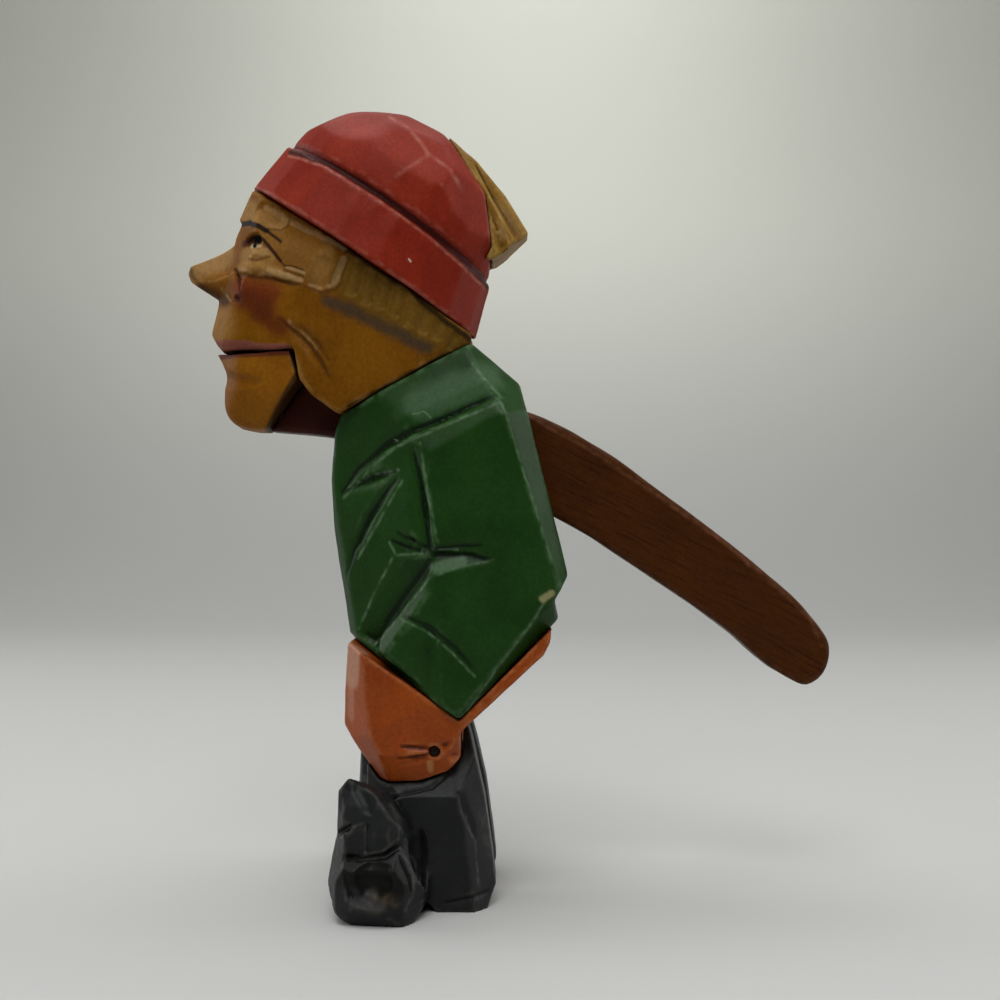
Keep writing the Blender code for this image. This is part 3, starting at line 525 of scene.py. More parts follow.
@dataclass(frozen=True)
class PaintedWood:
    """Thin satin paint over carved wood: worn on edges, dark in cuts and hollows, partly as painted shade,
    with the grain telling through.

    Scales are in waves per millimetre, and a step holds the noise or guide values where it begins and ends.
    """

    CLOUD_SCALE = 0.07
    CLOUD_STEP = (0.3, 0.7)
    GRAIN_STEP = (0.45, 0.8)
    BRUSH_SCALE = 1.1
    CREASE_STEP = (0.15, 0.8)
    HOLLOW_SHARE = 0.5
    PATCH_SCALE = 0.3
    PATCH_STEP = (0.34, 0.62)
    EDGE_STEP = (0.2, 0.9)
    SPECK_SCALE = 1.9
    SPECK_DETAIL = 2.0
    SPECK_STEP = (0.68, 0.76)
    BLOT_SCALE = 0.9
    BLOT_SHARE = 0.5
    SMOOTHER, ROUGHER = 0.12, 0.16
    RELIEF = 0.06
    FINE_DETAIL = 4.0

    name: str
    paint: Colour
    deep: Colour
    worn: Colour
    rough: float = 0.42
    gloss: float = 0.14
    wear: float = 0.4
    # Dirt and painted shade in cuts and hollows: how strongly they darken, and how dark, as a share of the
    # deep colour.
    dirt_and_shade: float = 0.8
    grime_and_shade: float = 0.22
    clouds: float = 1.0
    mottle: float = 0.35
    grain: Point = (1.6, 1.6, 0.12)
    grain_turn: float = 0.0
    grain_show: float = 0.35
    speckle: float = 0.2
    marks: tuple[Mark, ...] = ()

    def base(self, recipe: Recipe, grain: Socket) -> Socket:
        """The paint with its clouds and grain, before wear, dirt and marks.

        Args:
            recipe: The material.
            grain: The wood's streaks.

        Returns:
            The surface colour.
        """
        clouds = recipe.between(recipe.noise(self.CLOUD_SCALE), *self.CLOUD_STEP)
        colour = recipe.blend(recipe.sum("MULTIPLY", clouds, self.clouds), self.paint, self.deep)
        veil = recipe.sum("MULTIPLY", recipe.between(grain, *self.GRAIN_STEP), self.grain_show)
        return recipe.blend(veil, colour, self.deep)

    def painted_on(self, recipe: Recipe, colour: Socket) -> Socket:
        """The marks over the coat with its wear and painted shade, as the painter left them on the mesh.

        Args:
            recipe: The material.
            colour: The colour below.

        Returns:
            The surface colour.
        """
        if not self.marks:
            return colour
        brushed = recipe.node("ShaderNodeAttribute", {}, attribute_name=Painter.ATTRIBUTE).outputs
        kept = recipe.blend(brushed["Alpha"], colour, (0.0, 0.0, 0.0))
        return recipe.blend(1.0, kept, brushed["Color"], "ADD")

    def mottled(self, recipe: Recipe, colour: Socket) -> Socket:
        """The brush's fine light and dark.

        Args:
            recipe: The material.
            colour: The colour below.

        Returns:
            The surface colour.
        """
        brush = recipe.noise(self.BRUSH_SCALE, self.FINE_DETAIL)
        light = recipe.span(brush, 1.0 - self.mottle, 1.0 + self.mottle)
        return recipe.blend(1.0, colour, light, "MULTIPLY")

    def aged_and_shaded(self, recipe: Recipe, colour: Socket) -> Socket:
        """Dirt and painted shade in the cuts, painted shade in the broad hollows, worn edges and scattered
        specks.

        Args:
            recipe: The material.
            colour: The colour below.

        Returns:
            The surface colour.
        """
        # Dirt and painted shade: cuts and broad hollows are darkened towards a darker copy of the deep
        # colour.
        crease, hollow, edge = (recipe.attribute(name) for name in ("crease", "hollow", "edge"))
        packed = recipe.sum("MULTIPLY", recipe.between(crease, *self.CREASE_STEP), self.dirt_and_shade)
        shaded = recipe.sum("MULTIPLY", hollow, self.dirt_and_shade * self.HOLLOW_SHARE)
        shade = tuple(channel * self.grime_and_shade for channel in self.deep)
        colour = recipe.blend(recipe.sum("MAXIMUM", packed, shaded), colour, shade)
        patchy = recipe.between(recipe.noise(self.PATCH_SCALE, self.FINE_DETAIL), *self.PATCH_STEP)
        rubbed_and_lit = recipe.sum("MULTIPLY", recipe.between(edge, *self.EDGE_STEP), patchy)
        colour = recipe.blend(recipe.sum("MULTIPLY", rubbed_and_lit, self.wear), colour, self.worn)
        specks = recipe.between(recipe.noise(self.SPECK_SCALE, self.SPECK_DETAIL), *self.SPECK_STEP)
        return recipe.blend(recipe.sum("MULTIPLY", specks, self.speckle), colour, self.worn)

    def material(self) -> bpy.types.Material:
        """The finish as a material.

        Returns:
            The material.
        """
        recipe = Recipe(self.name)
        grain = recipe.grain(self.grain, math.radians(self.grain_turn))
        colour = self.aged_and_shaded(recipe, self.base(recipe, grain))
        colour = self.mottled(recipe, self.painted_on(recipe, colour))
        blots = recipe.noise(self.BLOT_SCALE, self.FINE_DETAIL)
        rough = recipe.span(blots, self.rough - self.SMOOTHER, self.rough + self.ROUGHER)
        relief = recipe.blend(self.BLOT_SHARE, grain, blots)
        recipe.feed("Specular IOR Level", self.gloss)
        return recipe.finish(colour, rough, relief, self.RELIEF)


class Painter:
    """Lays brush marks on a carved mesh, as one colour and its cover for each point."""

    ATTRIBUTE = "brushed"
    FINE_LINES = (0.75, 0.5)
    MARGIN = 0.3
    FACING_IN = -0.3
    WANDER_SEED = 5
    DRIFT_SCALE = 0.35
    DRIFT_SHARE = 0.5
    RUB_SCALE = 0.6
    RUB_MEAN = 0.55
    RUB_SPREAD = 0.9
    RUB_LEAST = 0.1

    def __init__(self, mesh: bpy.types.Mesh, marks: tuple[Mark, ...]) -> None:
        """Take the mesh and its marks.

        Args:
            mesh: The carved mesh.
            marks: The marks, in the order of painting.
        """
        self.mesh = mesh
        self.marks = marks
        self.points = np.empty((0, 3))
        self.outer = np.empty(0, bool)
        self.read()

    def read(self) -> None:
        """Read the points, folded onto the figure's left side, and whether each faces out of the figure."""
        points = Carver.read(self.mesh.vertices, "co", 3, np.float32).reshape(-1, 3) / MM
        normals = Carver.read(self.mesh.vertices, "normal", 3, np.float32).reshape(-1, 3)
        self.points = np.column_stack((np.abs(points[:, 0]), points[:, 1:]))
        self.outer = normals[:, 0] * np.sign(points[:, 0]) > self.FACING_IN

    def near(self, mark: Mark, drift: np.ndarray, margin: float) -> tuple[np.ndarray, np.ndarray]:
        """Points close to a mark.

        Args:
            mark: The mark.
            drift: One offset per point, by which the mark wanders.
            margin: Largest distance from the path that counts.

        Returns:
            Numbers of the points, and how far each lies from the path.
        """
        places = self.points + drift * mark.wander
        if mark.is_flat():
            places[:, 0] = 0.0
        corners = np.array(mark.corners())
        inside = (places > corners.min(axis=0) - margin) & (places < corners.max(axis=0) + margin)
        chosen = np.flatnonzero(inside.all(axis=1) & self.outer)
        offset, _, _ = Carver.nearest(places[chosen], mark.corners())
        return chosen, np.linalg.norm(offset, axis=1)

    def refine(self, fine_line: float) -> None:
        """Split the faces under lines with edges sharper than some millimetres, so that these stay crisp.

        Args:
            fine_line: Softness in millimetres below which a line is fine.
        """
        touched = np.zeros(len(self.points), bool)
        still = np.zeros_like(self.points)
        for mark in self.marks:
            if mark.soft < fine_line:
                reach = mark.radius + mark.soft + self.DRIFT_SHARE * mark.wander + self.MARGIN
                chosen, away = self.near(mark, still, reach)
                touched[chosen[away < reach]] = True
        bm = bmesh.new()
        bm.from_mesh(self.mesh)
        under = [any(touched[vert.index] for vert in face.verts) for face in bm.faces]
        edges = [edge for edge in bm.edges if any(under[face.index] for face in edge.link_faces)]
        bmesh.ops.subdivide_edges(bm, edges=edges, cuts=1, use_grid_fill=True)
        bm.to_mesh(self.mesh)
        bm.free()
        self.read()

    def lay(self) -> None:
        """Brush every mark on, and keep the result on the mesh."""
        for fine_line in self.FINE_LINES:
            self.refine(fine_line)
        noise.seed_set(self.WANDER_SEED)
        places = [Vector(point) for point in self.points]
        swirls = np.array([noise.noise_vector(place * self.DRIFT_SCALE) for place in places])
        drift = swirls * self.DRIFT_SHARE
        patches = np.array([noise.noise(place * self.RUB_SCALE) for place in places])
        rubbing = np.clip(self.RUB_MEAN + self.RUB_SPREAD * patches, self.RUB_LEAST, 1.0)
        brushed = np.zeros((len(places), 4))
        for mark in self.marks:
            chosen, away = self.near(mark, drift, mark.radius + mark.soft)
            share = np.clip((mark.radius + mark.soft - away) / mark.soft, 0.0, 1.0)
            cover = share**2 * (3.0 - 2.0 * share) * mark.cover
            if mark.rubbed_and_lit:
                cover *= rubbing[chosen]
            brushed[chosen] *= 1.0 - cover[:, None]
            brushed[chosen] += cover[:, None] * np.array((*mark.colour, 1.0))
        attribute = self.mesh.attributes.new(self.ATTRIBUTE, "FLOAT_COLOR", "POINT")
        attribute.data.foreach_set("color", brushed.astype(np.float32).ravel())


# Carved blocks


def merged_copy(frame: dict, nodes: tuple[str, ...], name: str) -> bpy.types.Object:
    """One object that holds welded copies of CAD nodes.

    Args:
        frame: The loaded frame.
        nodes: Names of the nodes.
        name: The new object's name.

    Returns:
        The object, linked to the scene.
    """
    bm = bmesh.new()
    for node in nodes:
        bm.from_mesh(frame["nodes"][node].data)
    bmesh.ops.remove_doubles(bm, verts=bm.verts[:], dist=WELD_DISTANCE * MM)
    mesh = bpy.data.meshes.new(name)
    bm.to_mesh(mesh)
    bm.free()
    obj = bpy.data.objects.new(name, mesh)
    bpy.context.scene.collection.objects.link(obj)
    return obj


def apply_modifiers(obj: bpy.types.Object) -> None:
    """Put the modifiers' result into the object's mesh.

    Args:
        obj: The object.
    """
    graph = bpy.context.evaluated_depsgraph_get()
    mesh = bpy.data.meshes.new_from_object(obj.evaluated_get(graph))
    obj.modifiers.clear()
    obj.data = mesh


@dataclass
class CarvedBlock:
    """One block of the figure, as a refined and carved copy of its CAD node."""

    node: str
    body: str
    slot: str
    finish: PaintedWood
    voxel: float = 0.6
    rounding: int = 2
    covers: tuple[str, ...] = ()
    ripple_pitch: float = 7.0
    ripple_height: float = 0.12

    def strokes(self) -> list[Stroke]:
        """The strokes that are cut after the block is shaped."""
        return []

    def shape(self, carver: Carver) -> None:
        """Round the block before the strokes."""
        carver.soften(self.rounding)

    def build(self, frame: dict) -> bpy.types.Object:
        """Refine, carve and dress the block.

        Args:
            frame: The loaded frame.

        Returns:
            The finished piece.
        """
        nodes = (self.node, *self.covers)
        piece = merged_copy(frame, nodes, self.node + "_carved")
        refine = piece.modifiers.new("refine", "REMESH")
        refine.mode = "VOXEL"
        refine.voxel_size = self.voxel * MM
        refine.use_smooth_shade = True
        apply_modifiers(piece)
        self.carve(Carver(piece.data, self.voxel))
        if self.finish.marks:
            Painter(piece.data, self.finish.marks).lay()
        piece.data.materials.clear()
        piece.data.materials.append(self.finish.material())
        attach(piece, self.body)
        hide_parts(*nodes)
        LOG.info("%s: %d faces", piece.name, len(piece.data.polygons))
        return piece

    def carve(self, carver: Carver) -> None:
        """Shape the block, cut the strokes and note where paint wears.

        Args:
            carver: The block's mesh.
        """
        self.shape(carver)
        for stroke in self.strokes():
            carver.cut(stroke)
        carver.soften(1)
        carver.ripple(self.ripple_pitch, self.ripple_height, len(self.node))
        carver.paint_guides()


@dataclass(frozen=True)
class HairFlutes:
    """The row of short gouge cuts along the cap's edge that makes the hair."""

    count: int = 8
    pitch: float = 3.7
    slope: float = 0.53
    lean: float = 1.8
    first: Point = (21.2, -40.6, 157.8)
    lengths: tuple[float, float] = (9.6, 4.6)
    flat_side_end: float = -25.0
    side_taper: float = 0.5
    unevenness: float = 0.5
    uneven_step: float = 1.9

    def paths(self) -> list[tuple[Point, Point]]:
        """Each flute from its top to its bottom.

        Returns:
            The two ends of each flute.
        """
        longest, shortest = self.lengths
        found = []
        for index in range(self.count):
            x, y, z = self.first
            y += index * self.pitch
            z -= index * self.pitch * self.slope + self.unevenness * math.sin(self.uneven_step * index)
            x -= max(0.0, y - self.flat_side_end) * self.side_taper
            length = longest + (shortest - longest) * index / (self.count - 1)
            found.append(((x, y + self.lean, z + length), (x, y, z)))
        return found


@dataclass
class Head(CarvedBlock):
    """Face, hair and neck."""

    muzzle: Zone = Zone((12.5, -73.0, 151.0), 7.0, 6.0)
    jowl: Zone = Zone((20.0, -50.0, 150.0), 9.0, 7.0)
    upper_lip: Zone = Zone((8.0, -68.5, 138.0), 13.0, 4.0)
    lip_drop: Point = (0.0, 0.0, -0.55)
    muzzle_rounding: int = 90
    jowl_rounding: int = 4
    flutes: HairFlutes = HairFlutes()

    def shape(self, carver: Carver) -> None:
        """Round the muzzle and the jowl more than the rest, and close the upper lip on the lower.

        Args:
            carver: The head's mesh.
        """
        carver.soften(self.rounding)
        carver.soften(self.muzzle_rounding, self.muzzle)
        carver.soften(self.jowl_rounding, self.jowl)
        carver.shift(self.upper_lip, self.lip_drop)

    def strokes(self) -> list[Stroke]:
        """Forehead, eyes, nose, cheeks and hair."""
        return self.eye_strokes() + self.nose_strokes() + self.cheek_strokes() + self.hair_strokes()

    def eye_strokes(self) -> list[Stroke]:
        """Scooped forehead, eyeball, lids and the pouch under the eye.

        Returns:
            The strokes on the figure's left side.
        """
        forehead = ((11.5, -66.6, 182.6), (13.8, -62.6, 180.0), (15.6, -59.6, 177.6))
        temple = ((16.8, -58.8, 174.6), (19.0, -53.6, 171.6), (21.0, -48.0, 169.2))
        eyeball = ((11.4, -68.2, 172.8), (15.4, -65.6, 172.3))
        lid = ((12.6, -66.8, 174.4), (16.3, -62.8, 171.2), (17.8, -59.8, 167.7), (18.5, -58.2, 165.7))
        lid_fold = ((15.9, -66.9, 168.6), (16.6, -64.4, 168.2), (17.1, -62.2, 169.0))
        pouch = ((13.4, -69.6, 166.8), (16.6, -64.5, 165.4), (18.0, -59.5, 163.8), (19.5, -54.6, 162.6))
        bag = ((11.2, -71.7, 165.2), (15.7, -66.8, 163.9), (17.6, -61.4, 163.0), (18.6, -57.3, 161.8),
               (19.9, -53.3, 160.9))
        return [
            Stroke(forehead, (2.6, 2.8), 0.8, Profile.GOUGE, start=0.1, end=0.12),
            Stroke(temple, (2.4, 3.0), 0.35, Profile.GOUGE, start=0.2, end=0.2),
            Stroke(eyeball, (1.6, 1.6), -0.9, Profile.GOUGE, start=0.3, end=0.3),
            Stroke(lid, (0.3, 1.3), 0.35, start=0.15, end=0.3),
            Stroke(lid_fold, (0.6, 0.9), 0.3, Profile.GOUGE),
            Stroke(pouch, (1.4, 1.1), -0.5, Profile.GOUGE, start=0.3, end=0.2),
            Stroke(bag, (0.4, 2.8), 0.8, start=0.1, end=0.3),
        ]

    def nose_strokes(self) -> list[Stroke]:
        """The bridge, the nostrils and the cut beside them.

        Returns:
            The strokes on the figure's left side.
        """
        wing = ((8.6, -73.2, 166.6), (10.8, -72.0, 164.4), (12.6, -71.4, 162.0), (14.2, -71.0, 159.6))
        nostril = ((12.6, -72.6, 158.8), (14.6, -70.4, 157.4))
        bridge = ((7.4, -73.6, 173.2), (6.4, -75.4, 169.4), (6.2, -77.4, 166.4))
        return [
            Stroke(bridge, (2.2, 1.6), 0.6, Profile.GOUGE),
            Stroke(wing, (1.8, 0.6), 0.7, start=0.3, end=0.25),
            Stroke(nostril, (0.8, 0.8), 0.9, Profile.GOUGE),
        ]

    def cheek_strokes(self) -> list[Stroke]:
        """The double crease down the jowl.

        Returns:
            The strokes on the figure's left side.
        """
        crease = ((17.7, -60.0, 152.5), (18.6, -56.9, 150.0), (19.5, -53.8, 147.5), (20.1, -50.8, 144.5),
                  (19.7, -48.5, 141.0), (19.3, -46.7, 137.4), (19.0, -45.9, 135.1))
        crease_back = ((18.8, -56.3, 151.0), (19.7, -53.0, 148.6), (20.2, -49.6, 145.4), (19.7, -46.7, 141.5))
        return [
            Stroke(crease, (0.8, 1.8), 0.7, start=0.3, end=0.35),
            Stroke(crease_back, (1.8, 0.6), 0.8, start=0.3, end=0.4),
        ]

    def hair_strokes(self) -> list[Stroke]:
        """Two scoops beside the face and the short flutes that run down from the cap's edge.

        Returns:
            The strokes on the figure's left side.
        """
        sideburn = ((21.2, -42.3, 167.6), (21.2, -44.1, 163.9), (21.2, -45.7, 160.6))
        face_side = ((21.2, -46.9, 168.0), (21.2, -48.7, 163.9), (20.8, -50.5, 160.0))
        scoops = [
            Stroke(face_side, (2.9, 2.9), 0.9, Profile.GOUGE, start=0.1, end=0.1),
            Stroke(sideburn, (1.3, 1.5), 0.8, Profile.GOUGE, start=0.05, end=0.15),
        ]
        paths = self.flutes.paths()
        cuts = [Stroke(flute, (1.8, 1.8), 0.55, Profile.GOUGE, start=0.05, end=0.2) for flute in paths]
        return scoops + cuts


@dataclass
class Cap(CarvedBlock):
    """Turned-up cuff and faceted crown."""

    crown: Zone = Zone((0.0, -28.0, 203.0), 20.0, 10.0)
    crown_rounding: int = 40

    def shape(self, carver: Carver) -> None:
        """Sand the crown rounder than the cuff."""
        carver.soften(self.rounding)
        carver.soften(self.crown_rounding, self.crown)


@dataclass
class Tassel(CarvedBlock):
    """Fluted tuft that sits tight on the crown."""

    tightness: float = 0.3
    tip: Zone = Zone((0.0, -16.5, 204.0), 6.0, 5.0)
    tip_rounding: int = 120

    def shape(self, carver: Carver) -> None:
        """Close the joint to the crown and blend the tip into it.

        Args:
            carver: The tassel's mesh.
        """
        carver.soften(self.rounding)
        carver.swell(self.tightness)
        carver.soften(self.tip_rounding, self.tip)

    def strokes(self) -> list[Stroke]:
        """Flutes that spread from the top.

        Returns:
            The strokes on the figure's left side.
        """
        back = ((2.4, -9.4, 196.6), (4.4, -3.6, 187.2), (7.0, 2.2, 176.4), (8.6, 5.8, 169.8))
        middle = ((4.6, -8.0, 190.0), (7.6, -4.6, 181.6), (9.6, -1.4, 172.4), (10.8, 0.6, 166.6))
        return [Stroke(flute, (1.8, 1.8), 0.9, Profile.GOUGE, end=0.02) for flute in (back, middle)]


@dataclass
class Jaw(CarvedBlock):
    """Lower lip and chin."""

    side: Zone = Zone((12.0, -70.0, 132.0), 10.0, 5.0)
    side_rounding: int = 160

    def shape(self, carver: Carver) -> None:
        """Round the chin's corners."""
        carver.soften(self.rounding)
        carver.soften(self.side_rounding, self.side)

    def strokes(self) -> list[Stroke]:
        """The hollow between lip and chin."""
        hollow = ((0.0, -76.0, 138.0), (8.0, -75.0, 137.6), (13.0, -70.0, 136.2), (15.0, -64.6, 135.6))
        return [Stroke(hollow, (2.4, 2.4), 0.5, Profile.GOUGE, start=0.05, end=0.5)]


@dataclass
class Jacket(CarvedBlock):
    """Torso, shoulders and arms."""

    def strokes(self) -> list[Stroke]:
        """Yoke, lapels, sleeve, elbow and pocket."""
        return self.chest_strokes() + self.sleeve_strokes()

    def chest_strokes(self) -> list[Stroke]:
        """Yoke, lapels and the folds of the belly.

        Returns:
            The strokes on the figure's left side.
        """
        yoke = ((12.7, -44.2, 106.1), (16.1, -39.4, 112.6), (21.4, -31.7, 119.0), (25.7, -25.0, 122.4),
                (26.0, -17.2, 125.2), (26.4, -10.0, 128.8), (26.2, -2.9, 131.3), (23.5, -0.5, 131.9))
        lapel = ((12.7, -44.2, 106.1), (16.5, -38.7, 109.7), (19.6, -34.0, 111.5), (23.6, -28.0, 112.5))
        lapel_long = ((12.1, -42.7, 83.2), (14.8, -40.3, 92.1), (17.6, -36.4, 100.2), (20.9, -31.8, 106.8),
                      (23.5, -28.0, 111.0))
        fold = ((27.7, -20.6, 92.9), (24.4, -24.4, 94.5), (21.8, -29.9, 97.4))
        fold_lower = ((26.7, -22.1, 91.5), (24.1, -26.2, 92.8), (20.9, -31.0, 94.9))
        belly = ((28.3, -19.5, 90.1), (26.0, -22.8, 86.1), (22.8, -27.3, 80.2), (19.6, -31.9, 73.5),
                 (16.9, -35.7, 67.0))
        return [
            Stroke(yoke, (4.8, 0.6), 1.0, start=0.1, end=0.1),
            Stroke(lapel, (0.8, 1.9), 0.8, start=0.5, end=0.3),
            Stroke(lapel_long, (2.8, 0.8), 0.9, start=0.6, end=0.2),
            Stroke(fold, (1.0, 1.0), 0.4, start=0.1, end=0.6),
            Stroke(fold_lower, (0.9, 1.8), 1.1, start=0.1, end=0.6),
            Stroke(belly, (3.0, 6.0), 2.2, start=0.2, end=0.02),
        ]

    def sleeve_strokes(self) -> list[Stroke]:
        """Sleeve seam, elbow folds with the pad below them, and the pocket's edge.

        Returns:
            The strokes on the figure's left side.
        """
        seam = ((26.2, -24.3, 119.0), (27.0, -22.8, 111.7), (27.3, -21.7, 103.2), (27.5, -20.6, 96.1),
                (28.3, -19.8, 91.6))
        elbow = ((28.4, -20.0, 92.4), (28.2, -15.7, 92.9), (28.1, -11.4, 93.3), (28.3, -5.4, 93.7))
        elbow_low = ((28.0, -20.0, 91.6), (27.8, -14.3, 91.5), (28.5, -9.3, 91.2), (28.5, -3.2, 89.7))
        pocket = ((24.5, -27.6, 75.3), (27.7, -22.8, 73.4), (27.4, -19.2, 70.9), (28.5, -14.9, 67.9),
                  (28.5, -11.4, 64.3), (28.5, -7.9, 60.4))
        return [
            Stroke(seam, (1.2, 4.6), 1.4, start=0.6, end=0.05),
            Stroke(elbow, (1.0, 0.5), 0.5, start=0.1, end=0.7),
            Stroke(elbow_low, (0.5, 5.0), 1.7, start=0.06, end=0.94),
            Stroke(pocket, (1.6, 0.5), 0.5, start=0.15, end=0.3),
        ]


@dataclass
class Breeches(CarvedBlock):
    """Seat and puffed knees."""

    def strokes(self) -> list[Stroke]:
        """Creases that run into the knee peg, and the facet behind it.

        Returns:
            The strokes on the figure's left side.
        """
        upper = ((26.6, -28.0, 42.0), (26.4, -24.0, 41.7), (26.6, -19.6, 41.4))
        lower = ((26.2, -28.6, 38.7), (26.3, -24.4, 39.2), (26.5, -19.8, 40.0))
        lowest = ((25.9, -28.4, 37.5), (26.1, -23.8, 38.4), (26.3, -20.4, 39.2))
        behind = ((26.6, -17.4, 42.0), (26.4, -14.2, 43.4))
        return [
            Stroke(upper, (1.1, 0.9), 0.8, start=0.6, end=0.1),
            Stroke(lower, (0.8, 0.8), 0.8, start=0.6, end=0.1),
            Stroke(lowest, (0.6, 0.9), 0.5, start=0.6, end=0.1),
            Stroke(behind, (1.2, 1.2), 0.6, start=0.2, end=0.5),
        ]


@dataclass
class Boot(CarvedBlock):
    """Shaft, heel and turned-out foot."""

    def strokes(self) -> list[Stroke]:
        """Rim, folds of the tongue, ridges of the toe and heel seam.

        Returns:
            The strokes on the left boot and its twin.
        """
        rim = ((27.4, -30.2, 29.4), (25.5, -19.6, 31.4), (22.9, -15.1, 34.7))
        tongue_front = ((31.9, -41.2, 34.1), (33.6, -42.0, 29.9), (33.6, -42.0, 26.2))
        tongue_middle = ((31.9, -38.4, 34.1), (34.5, -35.7, 30.1), (36.0, -34.0, 26.6))
        flap_top = ((30.0, -43.3, 20.9), (33.3, -41.0, 22.8), (35.9, -37.8, 24.6))
        flap_side = ((36.1, -35.9, 24.9), (36.4, -35.7, 21.0), (36.5, -35.7, 17.3))
        toe_bowl = ((38.6, -37.5, 12.6), (39.8, -33.4, 11.4), (40.6, -28.6, 9.4))
        toe_ridge = ((37.4, -27.5, 17.5), (37.6, -24.7, 11.8), (38.0, -24.2, 7.5))
        toe_flap = ((39.9, -40.9, 13.9), (40.4, -40.1, 9.1), (41.0, -38.5, 6.3))
        heel = ((27.0, -17.5, 2.4), (27.0, -9.8, 3.9), (21.5, -4.8, 4.3))
        shaft = ((25.6, -13.6, 31.0), (25.8, -11.4, 25.0), (23.6, -8.6, 18.0))
        return [
            Stroke(rim, (1.2, 0.4), 0.6, start=0.1, end=0.2),
            Stroke(tongue_front, (1.6, 1.6), 0.5, Profile.GOUGE, start=0.2, end=0.2),
            Stroke(tongue_middle, (1.9, 1.9), 0.6, Profile.GOUGE, start=0.2, end=0.2),
            Stroke(flap_top, (0.5, 1.5), 0.9, start=0.2, end=0.3),
            Stroke(flap_side, (2.4, 0.3), 0.8, start=0.1, end=0.1),
            Stroke(toe_bowl, (5.0, 5.0), 1.8, Profile.GOUGE, start=0.3, end=0.3),
            Stroke(toe_ridge, (0.6, 1.0), 0.8, start=0.2, end=0.2),
            Stroke(toe_flap, (1.4, 0.4), 0.8, start=0.2, end=0.2),
            Stroke(heel, (0.5, 0.9), 0.7, start=0.2, end=0.2),
            Stroke(shaft, (2.4, 1.2), 0.6, start=0.2, end=0.3),
        ]


# Joinery, which stays as the CAD has it


@dataclass(frozen=True)
class DrawnSteel:
    """Plain drawn wire with fine lines along it."""

    name: str = "drawn_steel"
    colour: Colour = (0.42, 0.42, 0.43)
    dull: Colour = (0.252, 0.252, 0.258)
    lines: Point = (0.2, 6.0, 6.0)
    rough: tuple[float, float] = (0.3, 0.5)
    relief: float = 0.02

    def material(self) -> bpy.types.Material:
        """The finish as a material.

        Returns:
            The material.
        """
        recipe = Recipe(self.name)
        lines = recipe.noise(1.0, place=recipe.stretched(self.lines))
        colour = recipe.blend(lines, self.colour, self.dull)
        recipe.feed("Metallic", 1.0)
        return recipe.finish(colour, recipe.span(lines, *self.rough), lines, self.relief)


@dataclass
class Joinery:
    """Dowels, pegs and the cross pin, dressed where the CAD has them."""

    steel: tuple[str, ...] = ("pivot_pin",)
    pegs: tuple[str, ...] = ("knee_peg_left", "knee_peg_right")

    def dress(self, frame: dict, replaced: set[str]) -> None:
        """Give every CAD node that still shows its own material.

        Args:
            frame: The loaded frame.
            replaced: Nodes that a carved piece stands for.
        """
        beech = PaintedWood(
            "bare_beech", paint=(0.55, 0.38, 0.22), deep=(0.42, 0.27, 0.13), worn=(0.6, 0.45, 0.3), rough=0.6,
        )
        dark = PaintedWood(
            "dark_peg", paint=(0.02, 0.011, 0.007), deep=(0.012, 0.007, 0.004), worn=(0.05, 0.03, 0.02),
            rough=0.7,
        )
        beech_wood, peg_wood, wire = beech.material(), dark.material(), DrawnSteel().material()
        for name, node in frame["nodes"].items():
            if name in replaced:
                continue
            chosen = beech_wood
            if name in self.steel:
                chosen = wire
            elif name in self.pegs:
                chosen = peg_wood
            node.data.materials.clear()
            node.data.materials.append(chosen)
            LOG.info("%s keeps its CAD shape", name)


# Studio


